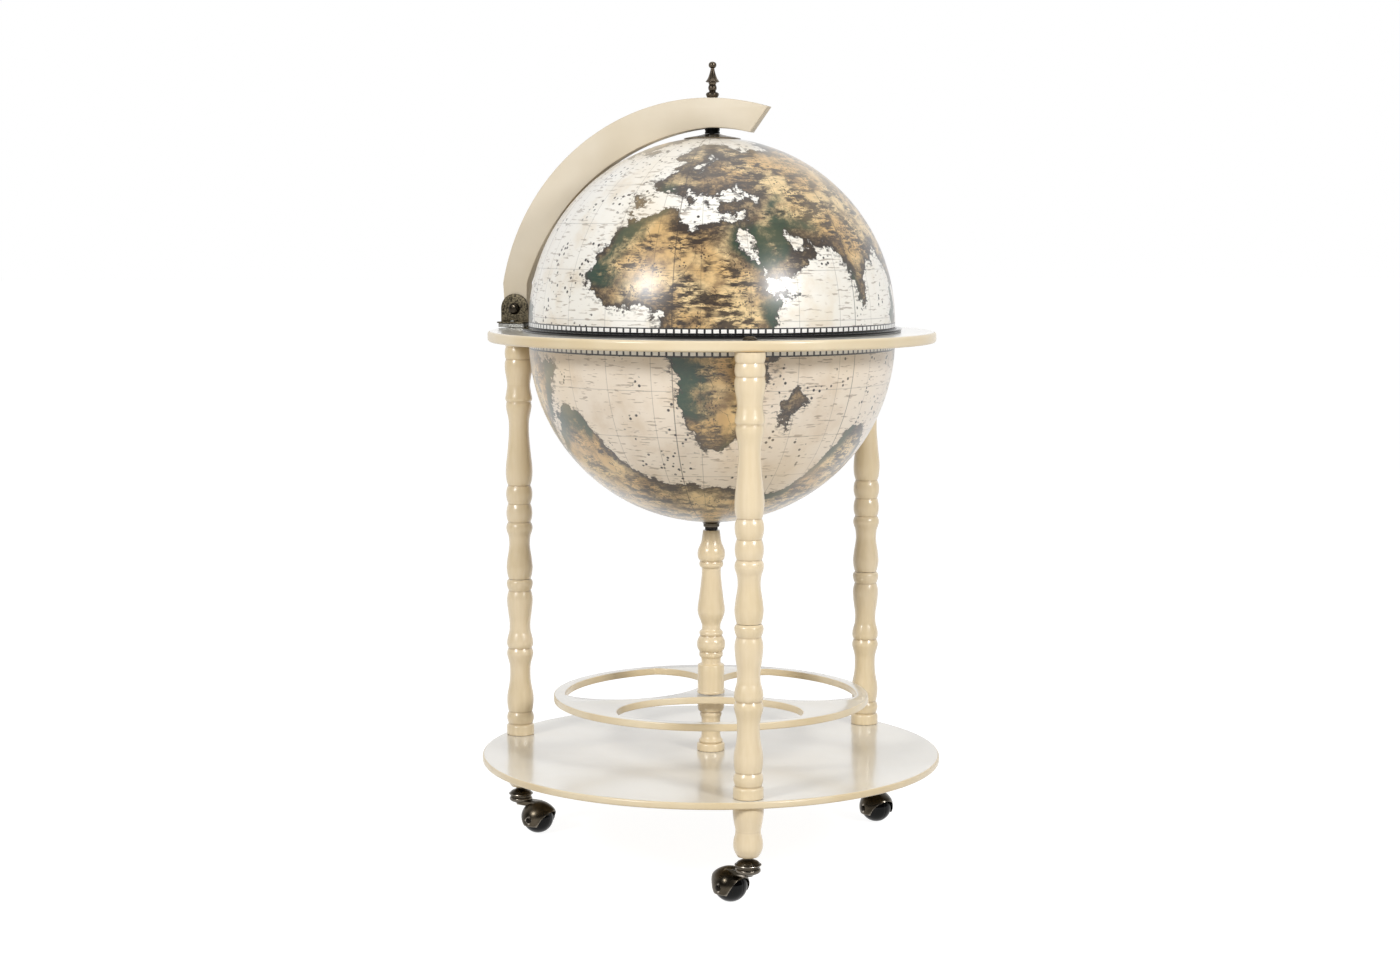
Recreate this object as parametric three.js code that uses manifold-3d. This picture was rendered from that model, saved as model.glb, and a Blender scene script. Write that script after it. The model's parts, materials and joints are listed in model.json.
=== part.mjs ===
// A floor globe bar: a hinged half globe over a bowl, on a ring with three turned legs, a bottle shelf
// on a centre column, a round board and three ball casters.
// Millimetres, +Z up. The origin is on the floor under the globe's axis. The front leg stands on -Y.

import * as THREE from 'three';
import { mergeVertices } from 'three/addons/utils/BufferGeometryUtils.js';
import Module from 'manifold-3d';

const wasm = await Module();
wasm.setup();

// Clearances and facets
const SEAT_GAP = 0.3;          // between faces that rest on each other
const BORE_GAP = 0.4;          // radial, around a bolt or a pin
const CUT_OVERRUN = 2;         // how far a cutter runs past the face that it opens
const TURNED_SIDES = 10;       // facets round a turned leg, spindle or bolt
const ROUND_SIDES = 36;        // facets round the board, ring, shelf and shells
const CASTER_SIDES = 16;       // facets round a ball or its hood
const HOLE_SIDES = 14;         // facets round a hole of the rack
const SMALL_SIDES = 8;         // facets round a small screw or an axle
const NUT_SIDES = 6;
const SHELL_STEPS = 8;         // facets from pole to equator of a shell
const WELD_DISTANCE = 0.0001;  // corners nearer than this are one

// Globe
const GLOBE_RADIUS = 210;
const SHELL_WALL = 3;
const BOWL_SINK = 10.5;        // centre of the lower half below the top of the ring
const LID_RISE = 10;           // centre of the upper half above the top of the ring
const FLANGE_REACH = 7;        // the bowl's flange beyond the globe
const FLANGE_THICKNESS = 1.8;
const RIM_BAND_HEIGHT = 2.7;
const RIM_BAND_PROUD = 2;      // the rim moulding beyond the globe
const RIM_BAND_DEPTH = 5;      // the rim moulding inwards from the globe
const RIM_LIP_REACH = 7.5;
const RIM_LIP_THICKNESS = 1.2;

// Horizon ring
const RING_WIDTH = 45.5;
const RING_THICKNESS = 12;
const RING_EASE = 3;           // rounding of its outer edges
const RING_BOWL_GAP = 1.5;     // between the ring and the bowl

// Legs, feet and board
const LEG_INSET = 12;          // leg axis inwards from the ring's outer edge
const LEG_RADIUS = 16.4;
const UPPER_LEG_LENGTH = 289;
const LOWER_LEG_LENGTH = 189;
const FOOT_LENGTH = 56;
const BOARD_THICKNESS = 8;
const BOARD_MARGIN = 21;       // board edge outwards from the leg axis
const BOARD_EASE = 2;
const LEG_TURN = 2 * Math.PI / 3;
const FRONT_LEG_ANGLE = -Math.PI / 2;

// Fasteners
const STUD_RADIUS = 3.5;
const STUD_DEPTH = 25;         // of a stud in each piece that it joins
const LEG_SCREW_HEAD_RADIUS = 8;
const LEG_SCREW_HEAD_HEIGHT = 4;
const BOLT_RADIUS = 3;
const NUT_RADIUS = 8;
const NUT_HEIGHT = 5;

// Centre column and bottle shelf
const COLUMN_RADIUS = 16.2;
const LOWER_SPINDLE_LENGTH = 59.7;
const SHELF_RADIUS = 183;
const SHELF_THICKNESS = 8;
const SHELF_RIM = 14;          // width of the rim outside the openings
const SHELF_HUB = 28;          // radius of the hub that the openings leave
const OPENING_HALF_WIDTH = 104;
const OPENING_HALF_DEPTH = 84;
const SHELF_TURN = -10 * Math.PI / 180;

// Pole fittings
const WASHER_RADIUS = 7.4;
const WASHER_HEIGHT = 3.2;
const LOWER_CAP_RADIUS = 13;
const LOWER_CAP_NECK_RADIUS = 9.3;
const LOWER_CAP_DROP = 6.5;    // below the globe's lower pole
const UPPER_CAP_RADIUS = 32.7;
const UPPER_CAP_RISE = 3.6;    // above the globe's upper pole
const UPPER_CAP_CROWN_RADIUS = 10;
const CAP_EDGE = 0.8;
const COLLAR_RADIUS = 8.6;
const COLLAR_HEIGHT = 6.4;

// Half meridian
const ARC_WIDTH = 34;          // at the crest
const ARC_THICKNESS = 15;
const ARC_OUTER_SHIFT = 6;     // centre of the outer edge towards the hinge
const ARC_OUTER_RISE = 5;      // centre of the outer edge above the ring
const ARC_INNER_SHIFT = 19;    // centre of the inner edge away from the hinge
const ARC_INNER_DROP = 36;     // centre of the inner edge below that of the outer edge
const ARC_TIP_REACH = 69;      // outer corner of the tip beyond the pole
const ARC_TIP_SLANT = 21;      // inner corner of the tip behind the outer one
const ARC_TIP_DROP = 5.6;      // inner corner of the tip below the crest of the inner edge
const ARC_FOOT_GAP = 0.8;      // between the arc's round foot and the hinge plate
const ARC_HEEL_RISE = 30;      // height above the pin where its edges turn straight

// Hinge
const PIN_RISE = 22;           // pin axis above the ring
const PIN_RADIUS = 3.5;
const PIN_HEAD_RADIUS = 6.8;
const PIN_HEAD_HEIGHT = 5;
const CHEEK_RADIUS = 17.6;
const CHEEK_THICKNESS = 2.5;
const CHEEK_GAP = 0.5;         // between a cheek and the arc
const HINGE_BASE_HEIGHT = 4.6;
const HINGE_BASE_HALF_WIDTH = 19.5;
const HINGE_PLATE_THICKNESS = 1.6;
const HINGE_PLATE_LAP = 3;     // the plate beyond its base block
const HINGE_SCREW_OFFSET = 15.5;
const HINGE_SCREW_RADIUS = 1.6;
const HINGE_SCREW_HEAD_RADIUS = 3.2;
const HINGE_SCREW_HEAD_HEIGHT = 1.4;
const HINGE_SCREW_DEPTH = 8;   // in the ring

// Finial
const FINIAL_HEIGHT = 40.5;
const FINIAL_RADIUS = 7.9;
const FINIAL_BORE_DEPTH = 3;   // of the pole bolt in the finial

// Casters
const BALL_RADIUS = 18.5;
const CASTER_HEIGHT = 54;      // floor to the foot
const CASTER_TRAIL = 25;
const HOOD_GAP = 0.6;
const HOOD_WALL = 1.5;
const HOOD_ARCH_RISE = 10;     // crown of the arched openings above the axle
const HOOD_ARCH_INSET = 4;     // sides of the arches inwards from the hood's ends
const HOOD_LOBE_DROP = 8;      // ends of the lobes below the axle
const BOSS_RADIUS = 13.8;
const BOSS_FOOT_RADIUS = 9;
const BOSS_HEIGHT = 8;
const BEARING_RADIUS = 14.6;
const BEARING_HEIGHT = 13;
const AXLE_RADIUS = 2;
const AXLE_HEAD_RADIUS = 3.4;
const AXLE_HEAD_HEIGHT = 0.9;
const CASTER_PIN_RADIUS = 3.5;
const FRONT_TRAIL_ANGLE = 128 * Math.PI / 180;
const LEFT_TRAIL_ANGLE = -40 * Math.PI / 180;
const RIGHT_TRAIL_ANGLE = -65 * Math.PI / 180;

// Inside the bowl
const RACK_DEPTH = 28;         // top of the rack below the top of the ring
const RACK_THICKNESS = 6;
const BOTTLE_HOLE_RADIUS = 43;
const RACK_WEB = 21;           // width left between two bottle holes
const BOTTLE_HOLES = 3;
const GLASS_HOLE_RADIUS = 28;
const RACK_EDGE = 14;          // width left between a glass hole and the rack's edge
const GLASS_HOLES = 6;
const PLATE_RADIUS = 117;
const PLATE_THICKNESS = 6;

// Levels and radii that follow
const boardBottom = CASTER_HEIGHT + FOOT_LENGTH;
const boardTop = boardBottom + BOARD_THICKNESS;
const legJoint = boardTop + LOWER_LEG_LENGTH;
const ringBottom = legJoint + UPPER_LEG_LENGTH;
const ringTop = ringBottom + RING_THICKNESS;
const ringInner = GLOBE_RADIUS + RING_BOWL_GAP;
const ringOuter = ringInner + RING_WIDTH;
const legCircle = ringOuter - LEG_INSET;
const boardRadius = legCircle + BOARD_MARGIN;
const bowlCentre = ringTop - BOWL_SINK;
const lidCentre = ringTop + LID_RISE;
const flangeTop = ringTop + SEAT_GAP + FLANGE_THICKNESS;
const bandBottom = flangeTop + SEAT_GAP;
const bandTop = bandBottom + RIM_BAND_HEIGHT;
const lowerPole = bowlCentre - GLOBE_RADIUS;
const upperPole = lidCentre + GLOBE_RADIUS;
const washerTop = lowerPole - LOWER_CAP_DROP - SEAT_GAP;
const columnTop = washerTop - WASHER_HEIGHT - SEAT_GAP;
const shelfBottom = boardTop + LOWER_SPINDLE_LENGTH;
const shelfTop = shelfBottom + SHELF_THICKNESS;
const collarBottom = upperPole + UPPER_CAP_RISE + SEAT_GAP;
const collarTop = collarBottom + COLLAR_HEIGHT;
const arcInnerCrest = collarTop + SEAT_GAP;
const arcOuterCrest = arcInnerCrest + ARC_WIDTH;
const finialBottom = arcOuterCrest + SEAT_GAP;
const pinLevel = ringTop + PIN_RISE;
const hingeBaseBottom = ringTop + SEAT_GAP;
const hingeBaseTop = hingeBaseBottom + HINGE_BASE_HEIGHT;
const hingePlateBottom = hingeBaseTop + SEAT_GAP;
const hingePlateTop = hingePlateBottom + HINGE_PLATE_THICKNESS;
const arcFootRadius = pinLevel - hingePlateTop - ARC_FOOT_GAP;
const studBore = STUD_RADIUS + BORE_GAP;
const boltBore = BOLT_RADIUS + BORE_GAP;
const hoodRadius = BALL_RADIUS + HOOD_GAP + HOOD_WALL;
const bossTop = CASTER_HEIGHT - BEARING_HEIGHT - SEAT_GAP;

// Legs in order round the axis; the hinge stands over the left one
const legNames = ['front', 'right', 'left'];
const legAngles = legNames.map((_, i) => FRONT_LEG_ANGLE + i * LEG_TURN);
const hingeAngle = legAngles.at(-1);
const trailAngles = [FRONT_TRAIL_ANGLE, RIGHT_TRAIL_ANGLE, LEFT_TRAIL_ANGLE];

// Turned outlines, from the bottom up: share of the piece's length, share of its greatest radius
const upperLegShares = [
  [0, 0.82], [0.03, 0.91], [0.055, 0.95], [0.088, 0.88], [0.142, 0.76], [0.18, 0.81], [0.213, 0.96],
  [0.235, 0.83], [0.275, 0.965], [0.316, 0.82], [0.36, 0.955], [0.39, 0.82], [0.445, 0.97], [0.52, 0.85],
  [0.6, 0.74], [0.66, 0.76], [0.717, 0.94], [0.736, 0.85], [0.75, 0.95], [0.8, 0.84], [0.875, 1.01],
  [0.918, 0.92], [0.944, 1], [0.972, 0.92], [0.99, 1.01], [1, 1],
];
const lowerLegShares = [
  [0, 1], [0.056, 0.99], [0.069, 0.86], [0.11, 0.98], [0.15, 0.86], [0.235, 0.97], [0.3, 0.87],
  [0.37, 0.75], [0.44, 0.755], [0.527, 0.965], [0.556, 0.86], [0.59, 0.96], [0.62, 0.9], [0.7, 0.755],
  [0.78, 0.84], [0.855, 0.945], [0.922, 0.82], [0.97, 0.95], [1, 0.82],
];
const footShares = [
  [0, 0.69], [0.07, 0.82], [0.15, 0.94], [0.235, 1], [0.34, 0.97], [0.52, 0.855], [0.68, 0.96],
  [0.86, 1], [1, 1],
];
const upperSpindleShares = [
  [0, 0.98], [0.022, 0.98], [0.028, 0.93], [0.18, 0.93], [0.188, 0.68], [0.232, 0.68], [0.242, 0.84],
  [0.258, 0.84], [0.284, 1], [0.324, 1], [0.346, 0.84], [0.372, 0.84], [0.38, 0.67], [0.427, 0.67],
  [0.47, 0.9], [0.51, 0.98], [0.57, 0.92], [0.66, 0.76], [0.73, 0.69], [0.765, 0.69], [0.782, 0.86],
  [0.81, 0.83], [0.845, 1], [0.895, 0.9], [0.93, 0.74], [1, 0.62],
];
const lowerSpindleShares = [
  [0, 0.99], [0.135, 0.99], [0.16, 0.82], [0.2, 0.86], [0.25, 0.75], [0.31, 0.68], [0.62, 0.68],
  [0.7, 0.77], [0.77, 0.78], [0.8, 0.88], [0.87, 0.95], [1, 0.96],
];
const finialShares = [
  [0, 0.77], [0.085, 0.94], [0.13, 0.85], [0.185, 0.46], [0.283, 0.62], [0.335, 0.52], [0.4, 0.56],
  [0.455, 1], [0.54, 0.62], [0.66, 0.38], [0.82, 0.26], [0.85, 0.42], [0.9, 0.57], [0.95, 0.45],
  [0.985, 0.2],
];
const tipShares = [1, 0.75, 0.5, 0.25];
const capShares = [[0.3, 0.36], [0.7, 0.66], [0.93, 0.9], [1, 1]];
const bearingShares = [
  [0, 0.86], [0.22, 0.86], [0.27, 1], [0.36, 1], [0.38, 0.87], [0.49, 0.82], [0.65, 0.6], [0.77, 0.38],
  [1, 0.38],
];
const bossShares = [[0.55, 1], [1, 1]];

// Domed heads, from the seat up: share of the head's height, share of its radius
const legScrewShares = [[0, 1], [0.35, 0.96], [0.85, 0.6], [1, 0]];
const pinHeadShares = [[0, 1], [0.55, 0.85], [0.9, 0.45], [1, 0]];
const smallScrewShares = [[0, 1], [1, 0.6], [1, 0]];

// Materials
const lacquer = (tone) => new THREE.MeshStandardMaterial({ color: tone, roughness: 0.35, metalness: 0 });
const CREAM = 0xe6d3ac;
const creamLegs = lacquer(CREAM);
const creamBoards = lacquer(0xeee4cc);
const bronze = new THREE.MeshStandardMaterial({ color: 0x4d4433, roughness: 0.38, metalness: 0.9 });
const steel = new THREE.MeshStandardMaterial({ color: 0x9a9a98, roughness: 0.4, metalness: 1 });
const blackPlastic = new THREE.MeshStandardMaterial({ color: 0x15161a, roughness: 0.2, metalness: 0 });
const rubber = new THREE.MeshStandardMaterial({ color: 0x1c1a19, roughness: 0.8, metalness: 0 });
const map = new THREE.MeshStandardMaterial({ color: 0xc9ac78, roughness: 0.25, metalness: 0 });

// A geometry as one closed solid: shared vertices, no slivers, faces out
function closed(geometry) {
  const bare = geometry.clone();
  bare.deleteAttribute('normal');
  bare.deleteAttribute('uv');
  const merged = mergeVertices(bare, WELD_DISTANCE);
  const source = merged.index.array;
  const place = merged.attributes.position;
  const kept = [];
  let volume = 0;
  const a = new THREE.Vector3();
  const b = new THREE.Vector3();
  const c = new THREE.Vector3();
  for (let i = 0; i < source.length; i += 3) {
    const [p, q, r] = [source[i], source[i + 1], source[i + 2]];
    if (p === q || q === r || r === p) continue;
    kept.push(p, q, r);
    a.fromBufferAttribute(place, p);
    b.fromBufferAttribute(place, q);
    c.fromBufferAttribute(place, r);
    volume += a.dot(b.cross(c));
  }
  if (volume < 0) kept.reverse();
  merged.setIndex(kept);
  return merged;
}

function toManifold(geometry) {
  const solid = closed(geometry);
  return new wasm.Manifold(new wasm.Mesh({
    numProp: 3,
    vertProperties: new Float32Array(solid.attributes.position.array),
    triVerts: new Uint32Array(solid.index.array),
  }));
}

function fromManifold(manifold) {
  const mesh = manifold.getMesh();
  const geometry = new THREE.BufferGeometry();
  geometry.setAttribute('position', new THREE.BufferAttribute(new Float32Array(mesh.vertProperties), 3));
  geometry.setIndex(new THREE.BufferAttribute(new Uint32Array(mesh.triVerts), 1));
  return geometry;
}

function cut(body, ...tools) {
  const rest = tools.reduce((left, tool) => left.subtract(toManifold(tool)), toManifold(body));
  return fromManifold(rest);
}

function join(...bodies) {
  const [first, ...others] = bodies.map(toManifold);
  return fromManifold(others.reduce((sum, other) => sum.add(other), first));
}

// A solid turned about Z from [radius, height] pairs
function turned(points, sides = TURNED_SIDES) {
  const outline = points.map(([radius, height]) => new THREE.Vector2(radius, height));
  return closed(new THREE.LatheGeometry(outline, sides).rotateX(Math.PI / 2));
}

// An outline of shares as [radius, height] pairs from a level; a negative length runs downwards
function sized(shares, start, length, radius) {
  return shares.map(([along, out]) => [radius * out, start + length * along]);
}

// A blind bore in an end of a turned solid, as the pairs from its floor out to its mouth
function blindBore(bore, mouth, inwards) {
  if (!bore) return [[0, mouth]];
  const floor = mouth + inwards * bore.depth;
  return [[0, floor], [bore.radius, floor], [bore.radius, mouth]];
}

// A solid turned between two levels on an outline of shares, with blind bores in its two ends
function spindle(shares, bottom, length, radius, lowerBore, upperBore) {
  const top = bottom + length;
  const start = blindBore(lowerBore, bottom, 1);
  const end = blindBore(upperBore, top, -1).reverse();
  return turned([...start, ...sized(shares, bottom, length, radius), ...end]);
}

// A round rod or disc about Z
function rod(radius, bottom, top, sides = TURNED_SIDES) {
  return turned([[0, bottom], [radius, bottom], [radius, top], [0, top]], sides);
}

// A washer or tube about Z
function tube(inner, outer, bottom, top, sides = TURNED_SIDES) {
  return turned([[inner, bottom], [outer, bottom], [outer, top], [inner, top], [inner, bottom]], sides);
}

// A hexagon nut with a round bore
function nut(bottom) {
  const bore = rod(boltBore, bottom - CUT_OVERRUN, bottom + NUT_HEIGHT + CUT_OVERRUN);
  return cut(rod(NUT_RADIUS, bottom, bottom + NUT_HEIGHT, NUT_SIDES), bore);
}

// A flat shape in the XY plane, given thickness upwards from a level
function slab(shape, bottom, thickness, curveSegments = TURNED_SIDES) {
  const geometry = new THREE.ExtrudeGeometry(shape, { depth: thickness, bevelEnabled: false, curveSegments });
  return closed(geometry.translate(0, 0, bottom));
}

// Points of an arc in a plane, from one angle to another
function arcPoints(centreX, centreY, radius, from, to, steps) {
  return Array.from({ length: steps + 1 }, (_, i) => {
    const angle = from + (to - from) * i / steps;
    return new THREE.Vector2(centreX + radius * Math.cos(angle), centreY + radius * Math.sin(angle));
  });
}

// Points all the way round a circle
function circlePoints(centreX, centreY, radius, sides) {
  return arcPoints(centreX, centreY, radius, 0, 2 * Math.PI, sides).slice(0, -1);
}

// A round hole in a flat shape
function holeAt(centreX, centreY, radius, sides) {
  return new THREE.Path(circlePoints(centreX, centreY, radius, sides));
}

const parts = new THREE.Group();

function add(name, geometry, material, parent = parts) {
  const mesh = new THREE.Mesh(geometry, material.clone());
  mesh.geometry.computeVertexNormals();
  mesh.name = name;
  parent.add(mesh);
  return mesh;
}

// Half shell: from a bore at the pole out to the equator, a skirt, and back inside.
// up is 1 for the upper half and -1 for the bowl.
function shellOutline(centre, up) {
  const inner = GLOBE_RADIUS - SHELL_WALL;
  const outerStart = Math.asin(boltBore / GLOBE_RADIUS);
  const innerStart = Math.asin(boltBore / inner);
  const steps = Array.from({ length: SHELL_STEPS + 1 }, (_, i) => i / SHELL_STEPS);
  const at = (radius, start, share) => {
    const angle = start + (Math.PI / 2 - start) * share;
    return [radius * Math.sin(angle), centre + up * radius * Math.cos(angle)];
  };
  const outside = steps.map((share) => at(GLOBE_RADIUS, outerStart, share));
  const inside = steps.map((share) => at(inner, innerStart, share)).reverse();
  return { outside, inside, inner };
}

// Where an outline stands at a value of one of its two coordinates: 0 is radius, 1 is height
function valueAt(outline, known, value) {
  const wanted = 1 - known;
  for (let i = 1; i < outline.length; i += 1) {
    const [from, to] = [outline[i - 1], outline[i]];
    const share = (value - from[known]) / (to[known] - from[known]);
    if (share >= 0 && share <= 1) return from[wanted] + (to[wanted] - from[wanted]) * share;
  }
  throw new Error(`the outline does not reach ${value}`);
}
const heightAt = (outline, radius) => valueAt(outline, 0, radius);
const radiusAt = (outline, height) => valueAt(outline, 1, height);

// The stretch of a shell's outside under a cap, moved off it by the seat gap
function seatUnder(outline, radius, offset) {
  const within = outline.filter(([out]) => out < radius).map(([out, height]) => [out, height + offset]);
  return [...within, [radius, heightAt(outline, radius) + offset]];
}

const bowlShell = shellOutline(bowlCentre, -1);
const lidShell = shellOutline(lidCentre, 1);

function buildFrame() {
  const boardOutline = [
    [0, boardBottom], [boardRadius - BOARD_EASE, boardBottom], [boardRadius, boardBottom + BOARD_EASE],
    [boardRadius, boardTop - BOARD_EASE], [boardRadius - BOARD_EASE, boardTop], [0, boardTop],
  ];
  const centreHole = rod(boltBore, boardBottom - CUT_OVERRUN, boardTop + CUT_OVERRUN);
  const boardHoles = legAngles.map((angle) => {
    const hole = rod(studBore, boardBottom - CUT_OVERRUN, boardTop + CUT_OVERRUN);
    return hole.translate(legCircle, 0, 0).rotateZ(angle);
  });
  add('base_board', cut(turned(boardOutline, ROUND_SIDES), centreHole, ...boardHoles), creamBoards);

  const ringOutline = [
    [ringInner, ringBottom], [ringOuter - RING_EASE, ringBottom], [ringOuter, ringBottom + RING_EASE],
    [ringOuter, ringTop - RING_EASE], [ringOuter - RING_EASE, ringTop], [ringInner, ringTop],
    [ringInner, ringBottom],
  ];
  const ringHoles = legAngles.map((angle) => {
    const hole = rod(studBore, ringBottom - CUT_OVERRUN, ringTop + CUT_OVERRUN);
    return hole.translate(legCircle, 0, 0).rotateZ(angle);
  });
  const screwFloor = ringTop - HINGE_SCREW_DEPTH - SEAT_GAP;
  const screwHoles = [1, -1].map((side) => {
    const hole = rod(HINGE_SCREW_RADIUS + SEAT_GAP, screwFloor, ringTop + CUT_OVERRUN);
    return hole.translate(legCircle, side * HINGE_SCREW_OFFSET, 0).rotateZ(hingeAngle);
  });
  add('horizon_ring', cut(turned(ringOutline, ROUND_SIDES), ...ringHoles, ...screwHoles), creamBoards);
}

function buildLeg(name, angle) {
  const group = new THREE.Group();
  group.rotation.z = angle;
  const post = new THREE.Group();
  post.position.x = legCircle;
  group.add(post);
  parts.add(group);
  const bore = { radius: studBore, depth: STUD_DEPTH + SEAT_GAP };
  const pinBore = { radius: CASTER_PIN_RADIUS + BORE_GAP, depth: STUD_DEPTH + SEAT_GAP };
  const addTurning = (node, shares, bottom, length, lowerBore) => {
    const turning = spindle(shares, bottom + SEAT_GAP, length - 2 * SEAT_GAP, LEG_RADIUS, lowerBore, bore);
    add(`${node}_${name}`, turning, creamLegs, post);
  };
  addTurning('foot', footShares, CASTER_HEIGHT, FOOT_LENGTH, pinBore);
  addTurning('lower_leg', lowerLegShares, boardTop, LOWER_LEG_LENGTH, bore);
  addTurning('upper_leg', upperLegShares, legJoint, UPPER_LEG_LENGTH, bore);
  add(`foot_stud_${name}`, rod(STUD_RADIUS, boardBottom - STUD_DEPTH, boardTop + STUD_DEPTH), steel, post);
  add(`leg_dowel_${name}`, rod(STUD_RADIUS, legJoint - STUD_DEPTH, legJoint + STUD_DEPTH), steel, post);
  const head = ringTop + SEAT_GAP;
  const screw = turned([
    [0, ringBottom - STUD_DEPTH], [STUD_RADIUS, ringBottom - STUD_DEPTH], [STUD_RADIUS, head],
    ...sized(legScrewShares, head, LEG_SCREW_HEAD_HEIGHT, LEG_SCREW_HEAD_RADIUS),
  ]);
  add(`leg_screw_${name}`, screw, bronze, post);
  return post;
}

function buildColumn() {
  const rodBore = { radius: boltBore, depth: STUD_DEPTH + SEAT_GAP };
  const lowerBottom = boardTop + SEAT_GAP;
  const lowerTop = shelfBottom - SEAT_GAP;
  const lower = turned([
    [boltBore, lowerBottom], ...sized(lowerSpindleShares, lowerBottom, lowerTop - lowerBottom, COLUMN_RADIUS),
    [boltBore, lowerTop], [boltBore, lowerBottom],
  ]);
  add('lower_spindle', lower, creamLegs);
  const upperBottom = shelfTop + SEAT_GAP;
  const upperLength = columnTop - upperBottom;
  const upper = spindle(upperSpindleShares, upperBottom, upperLength, COLUMN_RADIUS, rodBore, rodBore);
  add('upper_spindle', upper, creamLegs);

  const disc = new THREE.Shape(circlePoints(0, 0, SHELF_RADIUS, ROUND_SIDES));
  disc.holes.push(holeAt(0, 0, boltBore, TURNED_SIDES));
  const rimInner = SHELF_RADIUS - SHELF_RIM;
  const openingCentre = SHELF_HUB + OPENING_HALF_DEPTH;
  const openings = legAngles.map((angle) => {
    const oval = new THREE.CylinderGeometry(1, 1, 1, ROUND_SIDES / 2).rotateX(Math.PI / 2);
    oval.scale(OPENING_HALF_DEPTH, OPENING_HALF_WIDTH, SHELF_THICKNESS + 2 * CUT_OVERRUN);
    oval.translate(openingCentre, 0, shelfBottom + SHELF_THICKNESS / 2);
    const limit = rod(rimInner, shelfBottom - 2 * CUT_OVERRUN, shelfTop + 2 * CUT_OVERRUN, ROUND_SIDES);
    const bean = fromManifold(toManifold(oval).intersect(toManifold(limit)));
    return bean.rotateZ(angle + SHELF_TURN);
  });
  add('bottle_shelf', cut(slab(disc, shelfBottom, SHELF_THICKNESS), ...openings), creamBoards);

  add('column_rod', rod(BOLT_RADIUS, boardBottom - NUT_HEIGHT - 2 * SEAT_GAP, shelfTop + STUD_DEPTH), steel);
  add('column_nut', nut(boardBottom - SEAT_GAP - NUT_HEIGHT), steel);
}

function buildBowl() {
  const { outside, inside, inner } = bowlShell;
  const flangeBottom = ringTop + SEAT_GAP;
  const reach = GLOBE_RADIUS + FLANGE_REACH;
  const bowl = turned([
    ...outside, [GLOBE_RADIUS, flangeBottom], [reach, flangeBottom], [reach, flangeTop], [inner, flangeTop],
    ...inside, outside[0],
  ], ROUND_SIDES);
  add('lower_bowl', bowl, map);

  const capBottom = lowerPole - LOWER_CAP_DROP;
  const seat = seatUnder(outside, LOWER_CAP_RADIUS, -SEAT_GAP);
  add('lower_pole_cap', turned([
    [boltBore, capBottom], [LOWER_CAP_NECK_RADIUS, capBottom],
    [LOWER_CAP_NECK_RADIUS, capBottom + LOWER_CAP_DROP / 2],
    [LOWER_CAP_RADIUS, seat.at(-1)[1] - CAP_EDGE], ...seat.reverse(), [boltBore, capBottom],
  ]), bronze);
  add('column_washer', tube(boltBore, WASHER_RADIUS, washerTop - WASHER_HEIGHT, washerTop), rubber);
  const headBottom = heightAt(inside, NUT_RADIUS) + SEAT_GAP;
  add('bowl_bolt', turned([
    [0, columnTop - STUD_DEPTH], [BOLT_RADIUS, columnTop - STUD_DEPTH], [BOLT_RADIUS, headBottom],
    [NUT_RADIUS, headBottom], [NUT_RADIUS, headBottom + NUT_HEIGHT], [0, headBottom + NUT_HEIGHT],
  ]), steel);

  const rackTop = ringTop - RACK_DEPTH;
  const rackBottom = rackTop - RACK_THICKNESS;
  const rackRadius = radiusAt(inside, rackBottom) - 2 * SEAT_GAP;
  const rack = new THREE.Shape(circlePoints(0, 0, rackRadius, ROUND_SIDES));
  const drill = (count, circle, radius, turn) => {
    for (let i = 0; i < count; i += 1) {
      const angle = turn + i * 2 * Math.PI / count;
      rack.holes.push(holeAt(circle * Math.cos(angle), circle * Math.sin(angle), radius, HOLE_SIDES));
    }
  };
  const bottleCircle = (BOTTLE_HOLE_RADIUS + RACK_WEB / 2) / Math.sin(Math.PI / BOTTLE_HOLES);
  const glassCircle = rackRadius - RACK_EDGE - GLASS_HOLE_RADIUS;
  drill(BOTTLE_HOLES, bottleCircle, BOTTLE_HOLE_RADIUS, FRONT_LEG_ANGLE);
  drill(GLASS_HOLES, glassCircle, GLASS_HOLE_RADIUS, FRONT_LEG_ANGLE + Math.PI / GLASS_HOLES);
  add('glass_rack', slab(rack, rackBottom, RACK_THICKNESS), creamBoards);
  const plateBottom = heightAt(inside, PLATE_RADIUS) + SEAT_GAP;
  const plate = rod(PLATE_RADIUS, plateBottom, plateBottom + PLATE_THICKNESS, ROUND_SIDES);
  add('bottle_plate', plate, creamBoards);
}

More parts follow.
